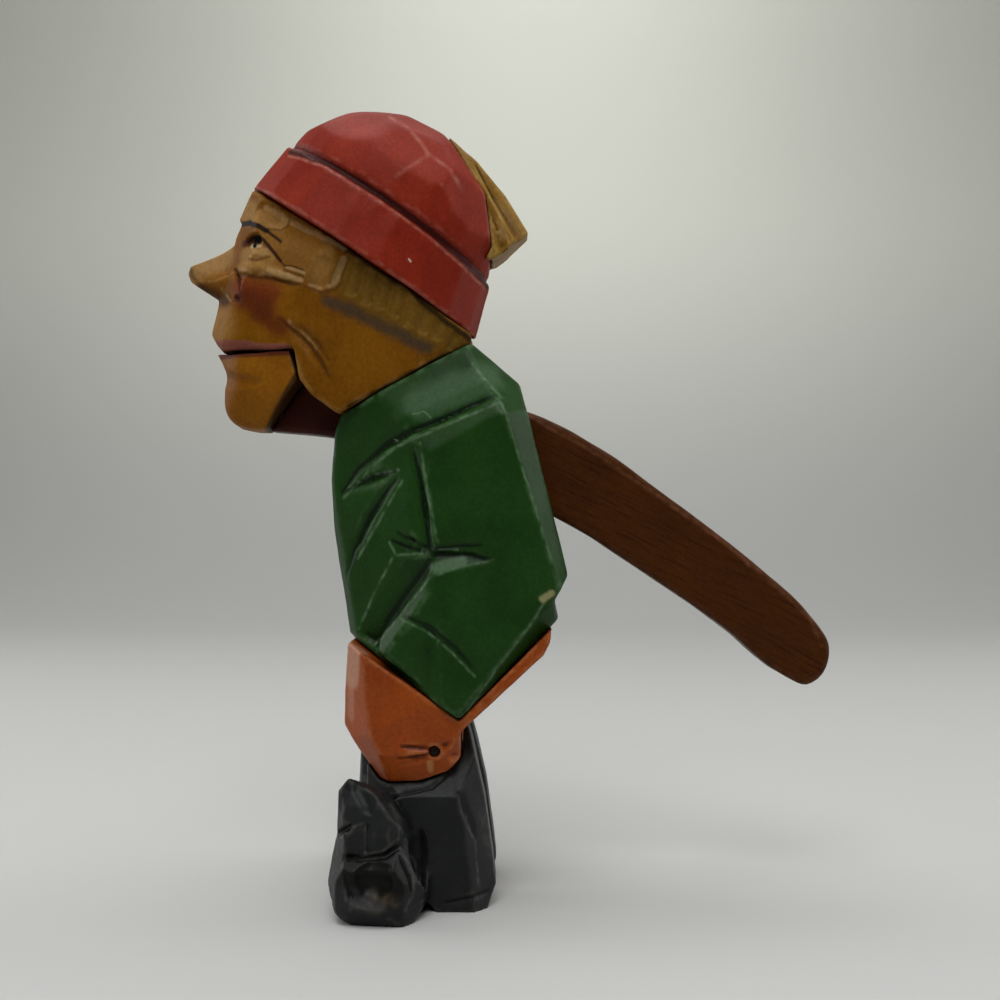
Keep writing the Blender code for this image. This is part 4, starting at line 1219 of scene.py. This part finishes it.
@dataclass
class Studio:
    """Pale floor that sweeps up into a backdrop, soft lamps and the photograph's camera."""

    camera_distance: float = 413.0
    camera_y: float = -2.2
    camera_z: float = 105.0
    lens: float = 54.6
    floor: Colour = (0.48, 0.485, 0.47)
    backdrop: Colour = (0.84, 0.85, 0.76)
    fade_height: float = 500.0
    paper_front: float = 2.5
    paper_back: float = -1.6
    paper_half_width: float = 3.0
    paper_height: float = 2.5
    paper_bend: float = 0.8
    bend_steps: int = 16
    paper_rough: float = 0.8
    fibre_scale: float = 0.02
    fibre_relief: float = 0.01
    sky: tuple[float, float] = (0.05, 0.4)
    sky_turn: tuple[float, float] = (0.8, -0.3)
    nearest_view: float = 0.01

    def sweep(self) -> None:
        """The floor and the backdrop in one sheet of paper."""
        bm = bmesh.new()
        side = self.paper_half_width
        front, rear = self.paper_front, self.paper_back
        places = ((front, -side), (front, side), (rear, side), (rear, -side))
        floor = bm.faces.new([bm.verts.new((x, y, 0.0)) for x, y in places])
        back = next(edge for edge in floor.edges if all(vert.co.x < 0 for vert in edge.verts))
        raised = bmesh.ops.extrude_edge_only(bm, edges=[back])["geom"]
        lifted = [item for item in raised if isinstance(item, bmesh.types.BMVert)]
        bmesh.ops.translate(bm, verts=lifted, vec=(0.0, 0.0, self.paper_height))
        bmesh.ops.bevel(
            bm, geom=[back], offset=self.paper_bend, offset_type="OFFSET", affect="EDGES",
            segments=self.bend_steps, profile=0.5, material=-1,
        )
        bmesh.ops.recalc_face_normals(bm, faces=bm.faces[:])
        mesh = bpy.data.meshes.new("paper_sweep")
        bm.to_mesh(mesh)
        bm.free()
        for face in mesh.polygons:
            face.use_smooth = True
        sheet = bpy.data.objects.new("paper_sweep", mesh)
        bpy.context.scene.collection.objects.link(sheet)
        recipe = Recipe("paper")
        height = recipe.node("ShaderNodeSeparateXYZ", {"Vector": recipe.place}).outputs["Z"]
        # The paper is painted lighter up the backdrop than on the floor: painted light that brightens the
        # upright part.
        colour = recipe.blend(recipe.between(height, 0.0, self.fade_height), self.floor, self.backdrop)
        fibre = recipe.noise(self.fibre_scale)
        mesh.materials.append(recipe.finish(colour, self.paper_rough, fibre, self.fibre_relief))

    def lamp(self, name: str, place: Point, aim: Point, size: float, watts: float) -> None:
        """One soft square lamp.

        Args:
            name: The lamp's name.
            place: Where it hangs, in metres.
            aim: What it faces, in metres.
            size: Its side, in metres.
            watts: Its power.
        """
        light = bpy.data.lights.new(name, "AREA")
        light.size = size
        light.energy = watts
        holder = bpy.data.objects.new(name, light)
        holder.location = place
        holder.rotation_euler = (Vector(aim) - Vector(place)).to_track_quat("-Z", "Y").to_euler()
        bpy.context.scene.collection.objects.link(holder)

    def lights(self) -> None:
        """A light tent that is open, and so dark, on the camera's side."""
        figure = (0.0, -0.02, 0.1)
        paper = (-1.6, 0.05, 0.62)
        self.lamp("top_tent", (-0.1, 0.0, 0.9), figure, size=0.9, watts=5.0)
        self.lamp("left_tent", (-0.3, -0.9, 0.4), figure, size=0.7, watts=3.2)
        self.lamp("right_tent", (-0.3, 0.9, 0.4), figure, size=0.7, watts=2.5)
        self.lamp("front_fill", (0.75, -0.1, 1.0), figure, size=0.6, watts=7.0)
        self.lamp("backdrop_lamp", (-1.05, 0.05, 1.05), paper, size=0.3, watts=2.4)
        world = bpy.data.worlds.new("tent")
        bpy.context.scene.world = world
        world.use_nodes = True
        nodes, links = world.node_tree.nodes, world.node_tree.links
        direction = nodes.new("ShaderNodeTexCoord")
        axes = nodes.new("ShaderNodeSeparateXYZ")
        strength = nodes.new("ShaderNodeMapRange")
        strength.inputs["From Min"].default_value, strength.inputs["From Max"].default_value = self.sky_turn
        strength.inputs["To Min"].default_value, strength.inputs["To Max"].default_value = self.sky
        links.new(direction.outputs["Generated"], axes.inputs["Vector"])
        links.new(axes.outputs["X"], strength.inputs["Value"])
        links.new(strength.outputs["Result"], nodes["Background"].inputs["Strength"])
        nodes["Background"].inputs["Color"].default_value = (1.0, 1.0, 1.0, 1.0)

    def camera(self) -> None:
        """The photograph's camera, level and square to the figure's left side."""
        lens = bpy.data.cameras.new("photo_camera")
        lens.lens = self.lens
        lens.clip_start = self.nearest_view
        holder = bpy.data.objects.new("photo_camera", lens)
        holder.location = (self.camera_distance * MM, self.camera_y * MM, self.camera_z * MM)
        holder.rotation_euler = (math.radians(90), 0.0, math.radians(90))
        bpy.context.scene.collection.objects.link(holder)
        bpy.context.scene.camera = holder

    def build(self) -> None:
        """Set up the studio."""
        self.sweep()
        self.lights()
        self.camera()
        bpy.context.scene.view_settings.view_transform = "Standard"


# Paint


def face_marks() -> tuple[Mark, ...]:
    """Every painted or worn place on the head, on its left side, in the order of painting."""
    return hair_marks() + skin_sheen_wear_and_shade_marks() + cheek_marks() + eye_marks()


def hair_marks() -> tuple[Mark, ...]:
    """Hair colour, its flutes with painted light and shade, the grey stripe, and the dark joints to cap and
    collar, with painted shadow along the cap's edge.

    Returns:
        The marks, in the order of painting.
    """
    brown, grey, joint = (0.120, 0.064, 0.008), (0.046, 0.034, 0.022), (0.010, 0.006, 0.003)
    light, dark = (0.23, 0.14, 0.032), (0.055, 0.030, 0.007)
    hair = ((21.2, -41.0, 162.6), (21.2, -33.0, 157.4), (20.0, -24.0, 152.4), (15.0, -14.0, 146.6))
    stripe = ((21.2, -47.0, 156.6), (21.2, -41.0, 154.2), (20.8, -33.3, 150.4), (20.3, -25.5, 146.6),
              (18.9, -20.9, 144.4))
    cap_line = ((21.2, -46.5, 172.0), (21.2, -40.6, 169.0), (21.2, -31.7, 163.1), (19.9, -22.9, 156.4),
                (15.9, -15.4, 151.0), (13.1, -10.0, 147.2))
    collar_line = ((18.6, -41.4, 129.4), (19.2, -31.9, 134.4), (19.6, -23.0, 139.2), (15.9, -15.4, 143.2),
                   (12.0, -9.8, 146.2))
    marks = [
        Mark(hair, 4.0, 3.0, brown, 0.75, wander=2.0),
        Mark(stripe, 0.2, 2.6, grey, 0.85, wander=1.8),
    ]
    for (_, top_y, top_z), (_, y, z) in HairFlutes().paths():
        bed = ((top_y - 0.4, top_z), (y - 0.5, z + 1.0))
        ridge = ((top_y + 1.5, top_z), (y + 1.6, z + 0.8))
        scallop = ((y - 1.3, z + 0.5), (y - 0.1, z - 0.3), (y + 1.1, z + 0.2))
        # Painted highlight in each flute's bed and on its scalloped end, painted shade on the ridge between
        # flutes.
        marks += [
            Mark(bed, 0.2, 1.0, light, 0.25, wander=1.0),
            Mark(ridge, 0.05, 0.8, dark, 0.25, wander=1.0),
            Mark(scallop, 0.05, 0.6, light, 0.5, wander=1.0, rubbed_and_lit=True),
        ]
    marks += [
        # Dark joint under the cap, with painted shadow of the cap's edge.
        Mark(cap_line, 0.3, 0.9, joint, 0.85, wander=0.8),
        Mark(collar_line, 0.2, 0.9, joint, 0.8, wander=0.8),
    ]
    return tuple(marks)


def skin_sheen_wear_and_shade_marks() -> tuple[Mark, ...]:
    """Pale gold places on the skin, worn paint together with painted sheen and highlights on lit planes and
    ridges, and brown in the cuts beside them as painted shade.

    Returns:
        The marks, in the order of painting.
    """
    gold, pale, brown = (0.31, 0.17, 0.05), (0.42, 0.27, 0.12), (0.07, 0.028, 0.008)
    nose = ((0.0, -85.0, 167.4), (3.0, -78.0, 170.6))
    muzzle = ((4.0, -79.6, 150.0), (11.5, -76.0, 151.4))
    cap_edge = ((-64.0, 182.3), (-57.6, 178.2), (-52.6, 175.1), (-42.5, 170.2))
    # Pale gold patches: painted sheen on the nose, forehead and cheek planes, and a painted highlight on the
    # lit edge under the cap, mixed with worn paint.
    broad = (
        Mark(nose, 3.0, 4.0, (0.33, 0.20, 0.085), 0.6),
        Mark(muzzle, 3.0, 4.0, gold, 0.42),
        Mark(((5.0, -71.0, 183.4), (10.0, -68.2, 181.0)), 2.0, 2.4, gold, 0.6, wander=0.8),
        Mark(cap_edge, 0.35, 0.8, pale, 0.45, wander=0.6),
        Mark(((-65.9, 179.9), (-59.8, 176.9)), 1.6, 1.0, gold, 0.5, wander=0.8),
        Mark(((-69.0, 169.8), (-62.8, 167.8)), 1.2, 1.8, gold, 0.5),
        Mark(((-70.4, 166.8), (-64.5, 165.8), (-59.5, 164.4)), 0.6, 1.5, gold, 0.6),
        Mark(((-47.0, 168.7), (-49.3, 162.3)), 1.0, 2.6, gold, 0.4, wander=1.0),
        Mark(((-62.0, 172.4), (-52.0, 167.0)), 2.0, 6.0, gold, 0.3, wander=1.0),
        Mark(((-42.6, 167.2), (-45.0, 161.6)), 0.6, 0.7, pale, 0.35, wander=0.4),
        Mark(((-66.4, 170.2), (-63.6, 169.9)), 0.4, 1.0, pale, 0.4, wander=0.4),
        Mark(((-57.6, 165.5), (-55.4, 164.8), (-52.9, 163.9)), 0.22, 0.4, pale, 0.6, wander=0.4),
        Mark(((-62.4, 165.0), (-57.4, 163.2)), 0.5, 0.6, pale, 0.5, wander=0.4),
        Mark(((-57.4, 163.2), (-53.8, 162.0)), 0.35, 0.5, pale, 0.6, wander=0.4),
    )
    crests = (
        ((-62.6, 177.2), (-59.8, 176.4), (-58.4, 177.2)),
        ((-70.8, 165.9), (-66.5, 164.6), (-61.4, 163.9), (-57.3, 162.8), (-54.0, 161.9)),
        ((-67.8, 169.0), (-66.0, 168.3), (-62.6, 169.2)),
        ((-51.4, 160.6), (-48.2, 159.8), (-44.9, 160.6), (-43.9, 162.6)),
        ((-57.0, 151.6), (-54.6, 149.6), (-51.8, 147.0), (-50.0, 144.4)),
    )
    cuts = (
        ((-63.0, 176.2), (-59.6, 175.4), (-57.5, 176.4), (-57.2, 178.2)),
        ((-71.7, 165.0), (-66.8, 163.5), (-61.4, 162.6), (-57.3, 161.4), (-53.6, 160.7)),
        ((-58.4, 164.7), (-55.4, 163.7), (-53.2, 163.0)),
        ((-68.0, 168.3), (-66.0, 167.6), (-62.4, 168.6)),
        ((-53.0, 160.2), (-48.0, 158.8), (-44.7, 159.5), (-42.9, 161.4)),
        ((-41.3, 167.6), (-43.3, 162.2)),
        ((-60.0, 152.5), (-56.9, 150.0), (-53.8, 147.5), (-50.8, 144.5), (-48.5, 141.0), (-46.7, 137.4)),
        ((-56.3, 151.0), (-53.0, 148.6), (-49.6, 145.4), (-46.7, 141.5)),
    )
    return (
        *broad,
        # Painted highlights along the ridges of the face.
        *(Mark(crest, 0.0, 0.9, pale, 0.45, wander=0.8, rubbed_and_lit=True) for crest in crests),
        # Painted shade in the cuts.
        *(Mark(cut, 0.06, 0.55, brown, 0.65, wander=0.6) for cut in cuts),
    )


def cheek_marks() -> tuple[Mark, ...]:
    """The blush, painted shade under the nose with painted highlights on its edges, and the upper lip.

    Returns:
        The marks, in the order of painting.
    """
    blush, flush, lip = (0.14, 0.024, 0.007), (0.088, 0.016, 0.005), (0.21, 0.066, 0.048)
    shade, brown, pale = (0.032, 0.012, 0.003), (0.095, 0.036, 0.006), (0.40, 0.25, 0.11)
    nose_edge = ((-84.6, 164.2), (-79.2, 163.6), (-73.6, 165.6))
    wing_edge = ((-76.8, 161.6), (-75.4, 159.9), (-73.4, 157.6))
    return (
        Mark(((-71.0, 161.2), (-67.6, 160.4), (-62.4, 159.2)), 1.2, 3.6, blush, 0.8, wander=1.6),
        Mark(((-69.2, 157.6), (-63.6, 155.4)), 1.0, 3.8, flush, 0.8, wander=1.6),
        Mark(((-65.6, 154.2), (-59.0, 149.8)), 0.4, 3.4, flush, 0.75, wander=1.6),
        # Painted shade under the nose.
        Mark(((-80.6, 162.0), (-74.6, 162.4), (-74.4, 160.4)), 0.9, 1.3, brown, 0.6, wander=0.6),
        Mark(((-82.6, 161.8), (-75.0, 158.0)), 0.6, 2.2, shade, 0.85, wander=0.6),
        # Painted highlights on the lit edges of the nose and its wing.
        Mark(nose_edge, 0.05, 0.6, pale, 0.35, wander=0.6, rubbed_and_lit=True),
        Mark(wing_edge, 0.05, 0.5, pale, 0.4, wander=0.6, rubbed_and_lit=True),
        Mark(((-86.2, 168.4), (-85.6, 165.6), (-81.6, 161.4)), 0.1, 1.0, shade, 0.55),
        Mark(((-80.0, 146.0), (-74.0, 145.8), (-68.0, 145.2)), 1.3, 0.5, lip),
        Mark(((-68.0, 145.2), (-57.8, 144.5)), 0.8, 0.5, lip),
    )


def eye_marks() -> tuple[Mark, ...]:
    """Nostrils, eyes with painted shade in their sockets, lids and brows.

    Returns:
        The marks, in the order of painting.
    """
    ink, brown, cream = (0.006, 0.006, 0.005), (0.035, 0.011, 0.005), (0.42, 0.32, 0.2)
    return (
        Mark(((-71.6, 158.6), (-70.9, 157.9)), 0.45, 0.8, (0.05, 0.012, 0.006), 0.95),
        Mark(((-72.7, 166.5), (-71.7, 165.5), (-71.5, 163.4), (-70.5, 159.4)), 0.1, 0.45, brown, 0.8),
        # Painted shade in the eye socket.
        Mark(((-70.0, 173.0), (-67.6, 174.0), (-65.6, 173.4)), 0.6, 0.9, (0.06, 0.018, 0.007), 0.9),
        Mark(((-67.7, 172.6), (-67.4, 171.4), (-64.9, 171.5)), 0.2, 0.4, cream, 0.75),
        Mark(((-66.4, 173.4), (-65.6, 173.0)), 0.8, 0.3, ink, 1.0),
        Mark(((-66.4, 173.0), (-66.5, 171.6)), 0.4, 0.3, ink, 1.0),
        Mark(((-69.0, 173.4), (-67.6, 174.5), (-66.0, 174.6), (-64.4, 173.4)), 0.2, 0.4, ink),
        Mark(((-64.4, 173.4), (-62.8, 171.6), (-60.8, 169.1), (-59.4, 167.3)), 0.25, 0.4, brown, 0.95),
        Mark(((-59.4, 167.3), (-58.2, 165.9), (-56.4, 165.9), (-53.4, 164.7)), 0.02, 0.4, brown, 0.8),
        Mark(((4.8, -71.9, 179.0), (6.6, -71.4, 178.9), (10.3, -68.6, 178.6)), 0.5, 0.6, ink, 0.95),
        Mark(((-68.9, 178.6), (-65.9, 177.1), (-63.4, 175.6)), 0.42, 0.5, ink, 0.95, wander=0.3),
        Mark(((-63.4, 175.6), (-61.4, 174.1), (-59.4, 172.4)), 0.15, 0.5, ink, 0.9, wander=0.3),
    )


def jaw_marks() -> tuple[Mark, ...]:
    """The lower lip, the dark joint to the lever and the shaded chin.

    Returns:
        The marks, in the order of painting.
    """
    lip, joint, shade = (0.085, 0.014, 0.009), (0.012, 0.006, 0.004), (0.07, 0.028, 0.008)
    return (
        Mark(((-74.0, 122.6), (-66.0, 121.2)), 0.3, 1.8, shade, 0.6, wander=0.8),
        Mark(((-74.6, 138.4), (-66.0, 136.8)), 0.2, 1.6, shade, 0.3, wander=0.8),
        Mark(((-78.0, 143.3), (-57.0, 143.5)), 0.4, 0.7, lip, 0.85),
        Mark(((-56.9, 143.4), (-55.1, 137.6)), 0.2, 0.6, joint, 0.8),
        Mark(((-55.1, 137.6), (-64.5, 122.6)), 0.5, 0.9, joint, 0.85, wander=0.4),
    )


def cap_marks() -> tuple[Mark, ...]:
    """The dark groove over the cuff, facet edges worn pink, and a chip in the cuff.

    Returns:
        The marks, in the order of painting.
    """
    pink, bare, shade = (0.46, 0.19, 0.14), (0.62, 0.46, 0.36), (0.03, 0.003, 0.002)
    groove = ((-57.6, 197.3), (-46.4, 192.1), (-33.1, 183.5), (-20.3, 174.4), (-5.7, 163.0))
    lip = ((-58.2, 196.0), (-47.2, 190.9), (-34.0, 182.3), (-21.2, 173.2), (-6.6, 161.8))
    ridges = (
        ((-31.3, 206.1), (-25.5, 201.9), (-20.6, 195.0)),
        ((-20.6, 195.0), (-28.9, 188.2)),
        ((-20.6, 195.0), (-15.2, 191.1), (-12.1, 186.1)),
    )
    chip = ((-25.5, 166.9), (-24.8, 166.2))
    return (
        Mark(groove, 0.55, 0.7, shade, 0.9, wander=0.3),
        Mark(lip, 0.05, 0.6, pink, 0.5, wander=0.4, rubbed_and_lit=True),
        *(Mark(ridge, 0.0, 0.95, pink, 0.45, wander=0.5, rubbed_and_lit=True) for ridge in ridges),
        Mark(chip, 0.1, 0.3, bare, 0.95, wander=1.2),
    )


def jacket_marks() -> tuple[Mark, ...]:
    """Painted shade in the cuts, pale edges of worn paint and painted sheen, dust and painted sheen over the
    collar and on the pad below the elbow, scuffs over the shoulder and a chip of bare wood.

    Returns:
        The marks, in the order of painting.
    """
    pale, dust_and_sheen = (0.11, 0.19, 0.095), (0.070, 0.13, 0.066)
    bare, shade = (0.27, 0.26, 0.12), (0.002, 0.008, 0.002)
    edges = (
        ((-43.4, 105.6), (-35.0, 114.0), (-28.5, 118.8), (-22.4, 121.3), (-12.6, 125.5), (-2.2, 129.9)),
        ((-22.6, 119.6), (-20.0, 104.0), (-17.9, 94.4)),
        ((-2.2, 131.0), (4.0, 111.6), (10.8, 89.7)),
        ((-9.3, 140.1), (-4.9, 134.4), (-1.9, 131.4)),
        ((-42.0, 108.3), (-35.4, 111.6), (-28.2, 112.8)),
        ((-27.2, 110.2), (-33.4, 100.0), (-39.4, 89.8)),
        ((-30.8, 94.0), (-28.9, 90.7), (-22.3, 91.4)),
        ((-30.0, 90.1), (-34.8, 80.9), (-39.3, 71.1)),
        ((-22.3, 82.3), (-20.3, 85.0), (-15.5, 87.2), (-9.8, 88.5), (-4.1, 89.8)),
        ((-22.3, 82.3), (-27.9, 75.5), (-34.8, 67.2)),
        ((-27.4, 74.6), (-20.6, 71.6), (-14.6, 66.4), (-8.6, 60.2)),
        ((-10.4, 51.4), (-3.4, 61.6), (6.7, 75.0), (9.2, 79.6)),
    )
    cuts = (
        ((-43.8, 107.0), (-39.2, 113.4), (-31.5, 119.8), (-25.0, 123.2), (-17.2, 126.0), (-10.0, 129.2),
         (-4.0, 131.4)),
        ((-42.6, 107.4), (-38.7, 109.9), (-34.0, 111.7), (-29.0, 112.5)),
        ((-41.6, 86.6), (-40.3, 92.1), (-36.4, 100.2), (-31.8, 106.8), (-29.0, 110.0)),
        ((-23.9, 116.6), (-22.8, 111.7), (-21.7, 103.2), (-20.6, 96.1), (-19.9, 92.0)),
        ((-20.0, 92.4), (-15.7, 92.9), (-11.4, 93.3), (-7.0, 93.6)),
        ((-20.0, 91.6), (-14.3, 91.5), (-9.3, 91.1), (-4.4, 90.0)),
        ((-20.6, 92.9), (-24.4, 94.5), (-28.6, 96.8)),
        ((-21.4, 91.7), (-26.2, 93.0), (-30.0, 94.6)),
        ((-27.2, 75.8), (-19.9, 73.0), (-13.7, 67.8), (-9.4, 62.9)),
        ((-20.2, 90.0), (-22.8, 86.1), (-27.3, 80.2), (-31.9, 73.5)),
    )
    scuffs = (
        ((-24.4, 127.1), (-22.2, 127.8), (-20.0, 126.3)),
        ((-29.1, 120.7), (-28.6, 120.2)),
    )
    return (
        # Dust and painted sheen over the collar.
        Mark(((-22.0, 130.0), (-6.0, 136.0)), 2.4, 4.0, dust_and_sheen, 0.5, wander=2.0),
        # Painted sheen on the pad facet below the elbow.
        Mark(((-18.6, 87.6), (-12.0, 89.4)), 0.8, 1.2, dust_and_sheen, 0.9, wander=0.8),
        # Painted shade in the cuts.
        *(Mark(cut, 0.1, 0.6, shade, 0.8, wander=0.3) for cut in cuts),
        # Pale edges: worn paint and painted sheen.
        *(Mark(edge, 0.05, 0.5, pale, 0.7, wander=0.4, rubbed_and_lit=True) for edge in edges),
        *(Mark(scuff, 0.05, 0.35, pale, 0.7, wander=1.0) for scuff in scuffs),
        Mark(((8.6, 79.6), (10.6, 81.2)), 0.5, 0.7, bare, 0.85, wander=0.8),
    )


def breeches_marks() -> tuple[Mark, ...]:
    """Painted sheen on the front corner, painted shade in the creases beside the knee peg, and a run of glue
    below it.

    Returns:
        The marks, in the order of painting.
    """
    pale, glue, shade = (0.42, 0.22, 0.14), (0.40, 0.20, 0.07), (0.10, 0.018, 0.003)
    return (
        # Painted sheen: the front corner made pale as if it caught the light.
        Mark(((22.8, -39.4, 67.4), (21.4, -40.4, 59.8)), 2.6, 2.2, pale, 0.75, wander=0.8),
        Mark(((20.8, -40.8, 58.0), (19.2, -41.4, 49.0)), 0.8, 2.0, pale, 0.4, wander=0.8),
        # Painted shade in the creases beside the knee peg.
        Mark(((-27.6, 42.6), (-23.4, 42.1), (-20.4, 41.5)), 0.05, 0.4, shade, 0.7, wander=0.4),
        Mark(((-28.4, 39.3), (-24.0, 39.6), (-20.6, 40.4)), 0.05, 0.4, shade, 0.7, wander=0.4),
        Mark(((-20.0, 38.2), (-19.9, 36.0)), 0.3, 0.7, glue, 0.6, wander=1.6),
    )


def lever_marks() -> tuple[Mark, ...]:
    """Painted shade on the handle inside the mouth, and a painted highlight along the handle's upper edge.

    Returns:
        The marks, in the order of painting.
    """
    dark, rubbed_and_lit = (0.030, 0.005, 0.003), (0.20, 0.080, 0.040)
    edge = ((4.3, 128.0), (20.6, 119.2), (40.1, 106.2), (57.6, 93.8), (71.4, 81.9), (80.6, 73.6),
            (84.2, 66.0))
    return (
        # Painted shade: the handle between jaw and jacket, darkened where it lies in shadow.
        Mark(((-62.0, 126.0), (-50.0, 130.0)), 9.0, 5.0, dark, 0.85, wander=1.5),
        # Painted highlight: the lit upper edge of the handle, broken up in patches.
        Mark(edge, 0.1, 0.8, rubbed_and_lit, 0.5, wander=0.5, rubbed_and_lit=True),
    )


def boot_marks() -> tuple[Mark, ...]:
    """Painted shade in the toe's bowl, brown wood that shows on its edge, and ridges and corners worn grey
    with painted sheen on them.

    Returns:
        The marks, in the order of painting.
    """
    brown, bowl_shade, grey = (0.085, 0.062, 0.036), (0.004, 0.004, 0.003), (0.075, 0.075, 0.070)
    ridges = (
        ((-27.2, 18.4), (-23.9, 12.6), (-23.4, 8.2), (-25.4, 4.0)),
        ((-38.2, 16.3), (-34.4, 17.1), (-31.0, 18.2), (-27.6, 20.7)),
        ((-42.0, 21.6), (-40.5, 17.8), (-41.3, 14.1), (-40.1, 6.6)),
        ((-41.3, 22.6), (-35.9, 24.9), (-35.7, 17.3)),
        ((-29.9, 28.2), (-27.2, 24.2), (-27.6, 20.3)),
        ((-30.2, 30.0), (-19.6, 32.0), (-15.1, 35.2)),
        ((-11.4, 25.0), (-8.6, 17.0), (-7.6, 6.0)),
    )
    return (
        # Painted shade in the upper part of the toe's bowl.
        Mark(((-40.0, 13.4), (-36.4, 13.4), (-32.0, 13.2), (-28.4, 10.4)), 2.8, 2.0, bowl_shade, 0.95, wander=1.0),
        Mark(((-33.0, 7.0), (-28.4, 6.8)), 0.4, 2.2, brown, 0.6, wander=2.4, rubbed_and_lit=True),
        # Pale grey along ridges: worn paint and painted sheen.
        *(Mark(ridge, 0.0, 0.6, grey, 0.6, wander=0.5, rubbed_and_lit=True) for ridge in ridges),
        Mark(((20.0, -6.1, 23.0), (19.6, -4.8, 15.0)), 1.0, 2.4, grey, 0.35, wander=2.0, rubbed_and_lit=True),
    )


# Assembly


def carved_blocks() -> list[CarvedBlock]:
    """Every carved block with its finish.

    Returns:
        The blocks, in the order of building.
    """
    skin = PaintedWood(
        "ochre_skin", paint=(0.20, 0.076, 0.004), deep=(0.14, 0.048, 0.002), worn=(0.34, 0.19, 0.06),
        rough=0.5, gloss=0.04, dirt_and_shade=0.6, grime_and_shade=0.35, grain=(2.2, 2.2, 0.16), grain_show=0.4, speckle=0.1,
        marks=face_marks(),
    )
    chin = PaintedWood(
        "ochre_chin", paint=(0.25, 0.094, 0.005), deep=(0.18, 0.062, 0.002), worn=(0.36, 0.20, 0.06),
        rough=0.46, gloss=0.06, dirt_and_shade=0.6, grime_and_shade=0.35, grain=(2.2, 2.2, 0.16), grain_show=0.4, speckle=0.1,
        marks=jaw_marks(),
    )
    green = PaintedWood(
        "green_paint", paint=(0.012, 0.048, 0.006), deep=(0.008, 0.034, 0.004), worn=(0.10, 0.17, 0.085),
        rough=0.36, gloss=0.1, grain=(1.8, 1.8, 0.12), grain_show=0.25, marks=jacket_marks(),
    )
    red = PaintedWood(
        "red_paint", paint=(0.24, 0.022, 0.008), deep=(0.185, 0.014, 0.005), worn=(0.42, 0.15, 0.11),
        rough=0.44, gloss=0.09, marks=cap_marks(),
    )
    yellow = PaintedWood(
        "yellow_paint", paint=(0.25, 0.13, 0.016), deep=(0.16, 0.075, 0.007), worn=(0.44, 0.30, 0.09),
        rough=0.42,
    )
    orange = PaintedWood(
        "orange_stain", paint=(0.30, 0.055, 0.003), deep=(0.23, 0.04, 0.004), worn=(0.46, 0.18, 0.07),
        rough=0.34, gloss=0.16, grain=(2.6, 2.6, 0.10), grain_show=0.5, marks=breeches_marks(),
    )
    black = PaintedWood(
        "black_paint", paint=(0.016, 0.017, 0.017), deep=(0.010, 0.011, 0.011), worn=(0.07, 0.065, 0.055),
        rough=0.42, marks=boot_marks(),
    )
    brown = PaintedWood(
        "brown_stain", paint=(0.060, 0.016, 0.001), deep=(0.020, 0.004, 0.001), worn=(0.12, 0.045, 0.02),
        rough=0.4, gloss=0.09, clouds=0.25, grain=(2.4, 0.10, 2.4), grain_turn=27.0, grain_show=0.9,
        marks=lever_marks(),
    )
    return [
        Jacket("jacket", "figure", "jacket_green", green, 0.75, covers=("pin_plug_left", "pin_plug_right")),
        Head("head", "figure", "skin", skin, 0.57, rounding=1),
        Cap("cap", "figure", "cap_red", red, 0.55),
        Tassel("cap_tassel", "figure", "tassel_yellow", yellow, 0.35),
        Breeches("breeches", "figure", "breeches_orange", orange, 0.5),
        Boot("left_boot", "figure", "boot_black", black, 0.45),
        Boot("right_boot", "figure", "boot_black", black, 0.45),
        CarvedBlock("lever", "lever", "lever_brown", brown, 0.5),
        Jaw("jaw", "lever", "skin", chin, 0.4),
    ]


def main() -> None:
    """Load the frame, build every sub-assembly in order and note the sizes."""
    logging.basicConfig(level=logging.INFO, format="%(name)s %(message)s")
    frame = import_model()
    replaced: set[str] = set()
    for block in carved_blocks():
        block.build(frame)
        replaced.update((block.node, *block.covers))
    Joinery().dress(frame, replaced)
    Studio().build()


if __name__ == "__main__":
    main()
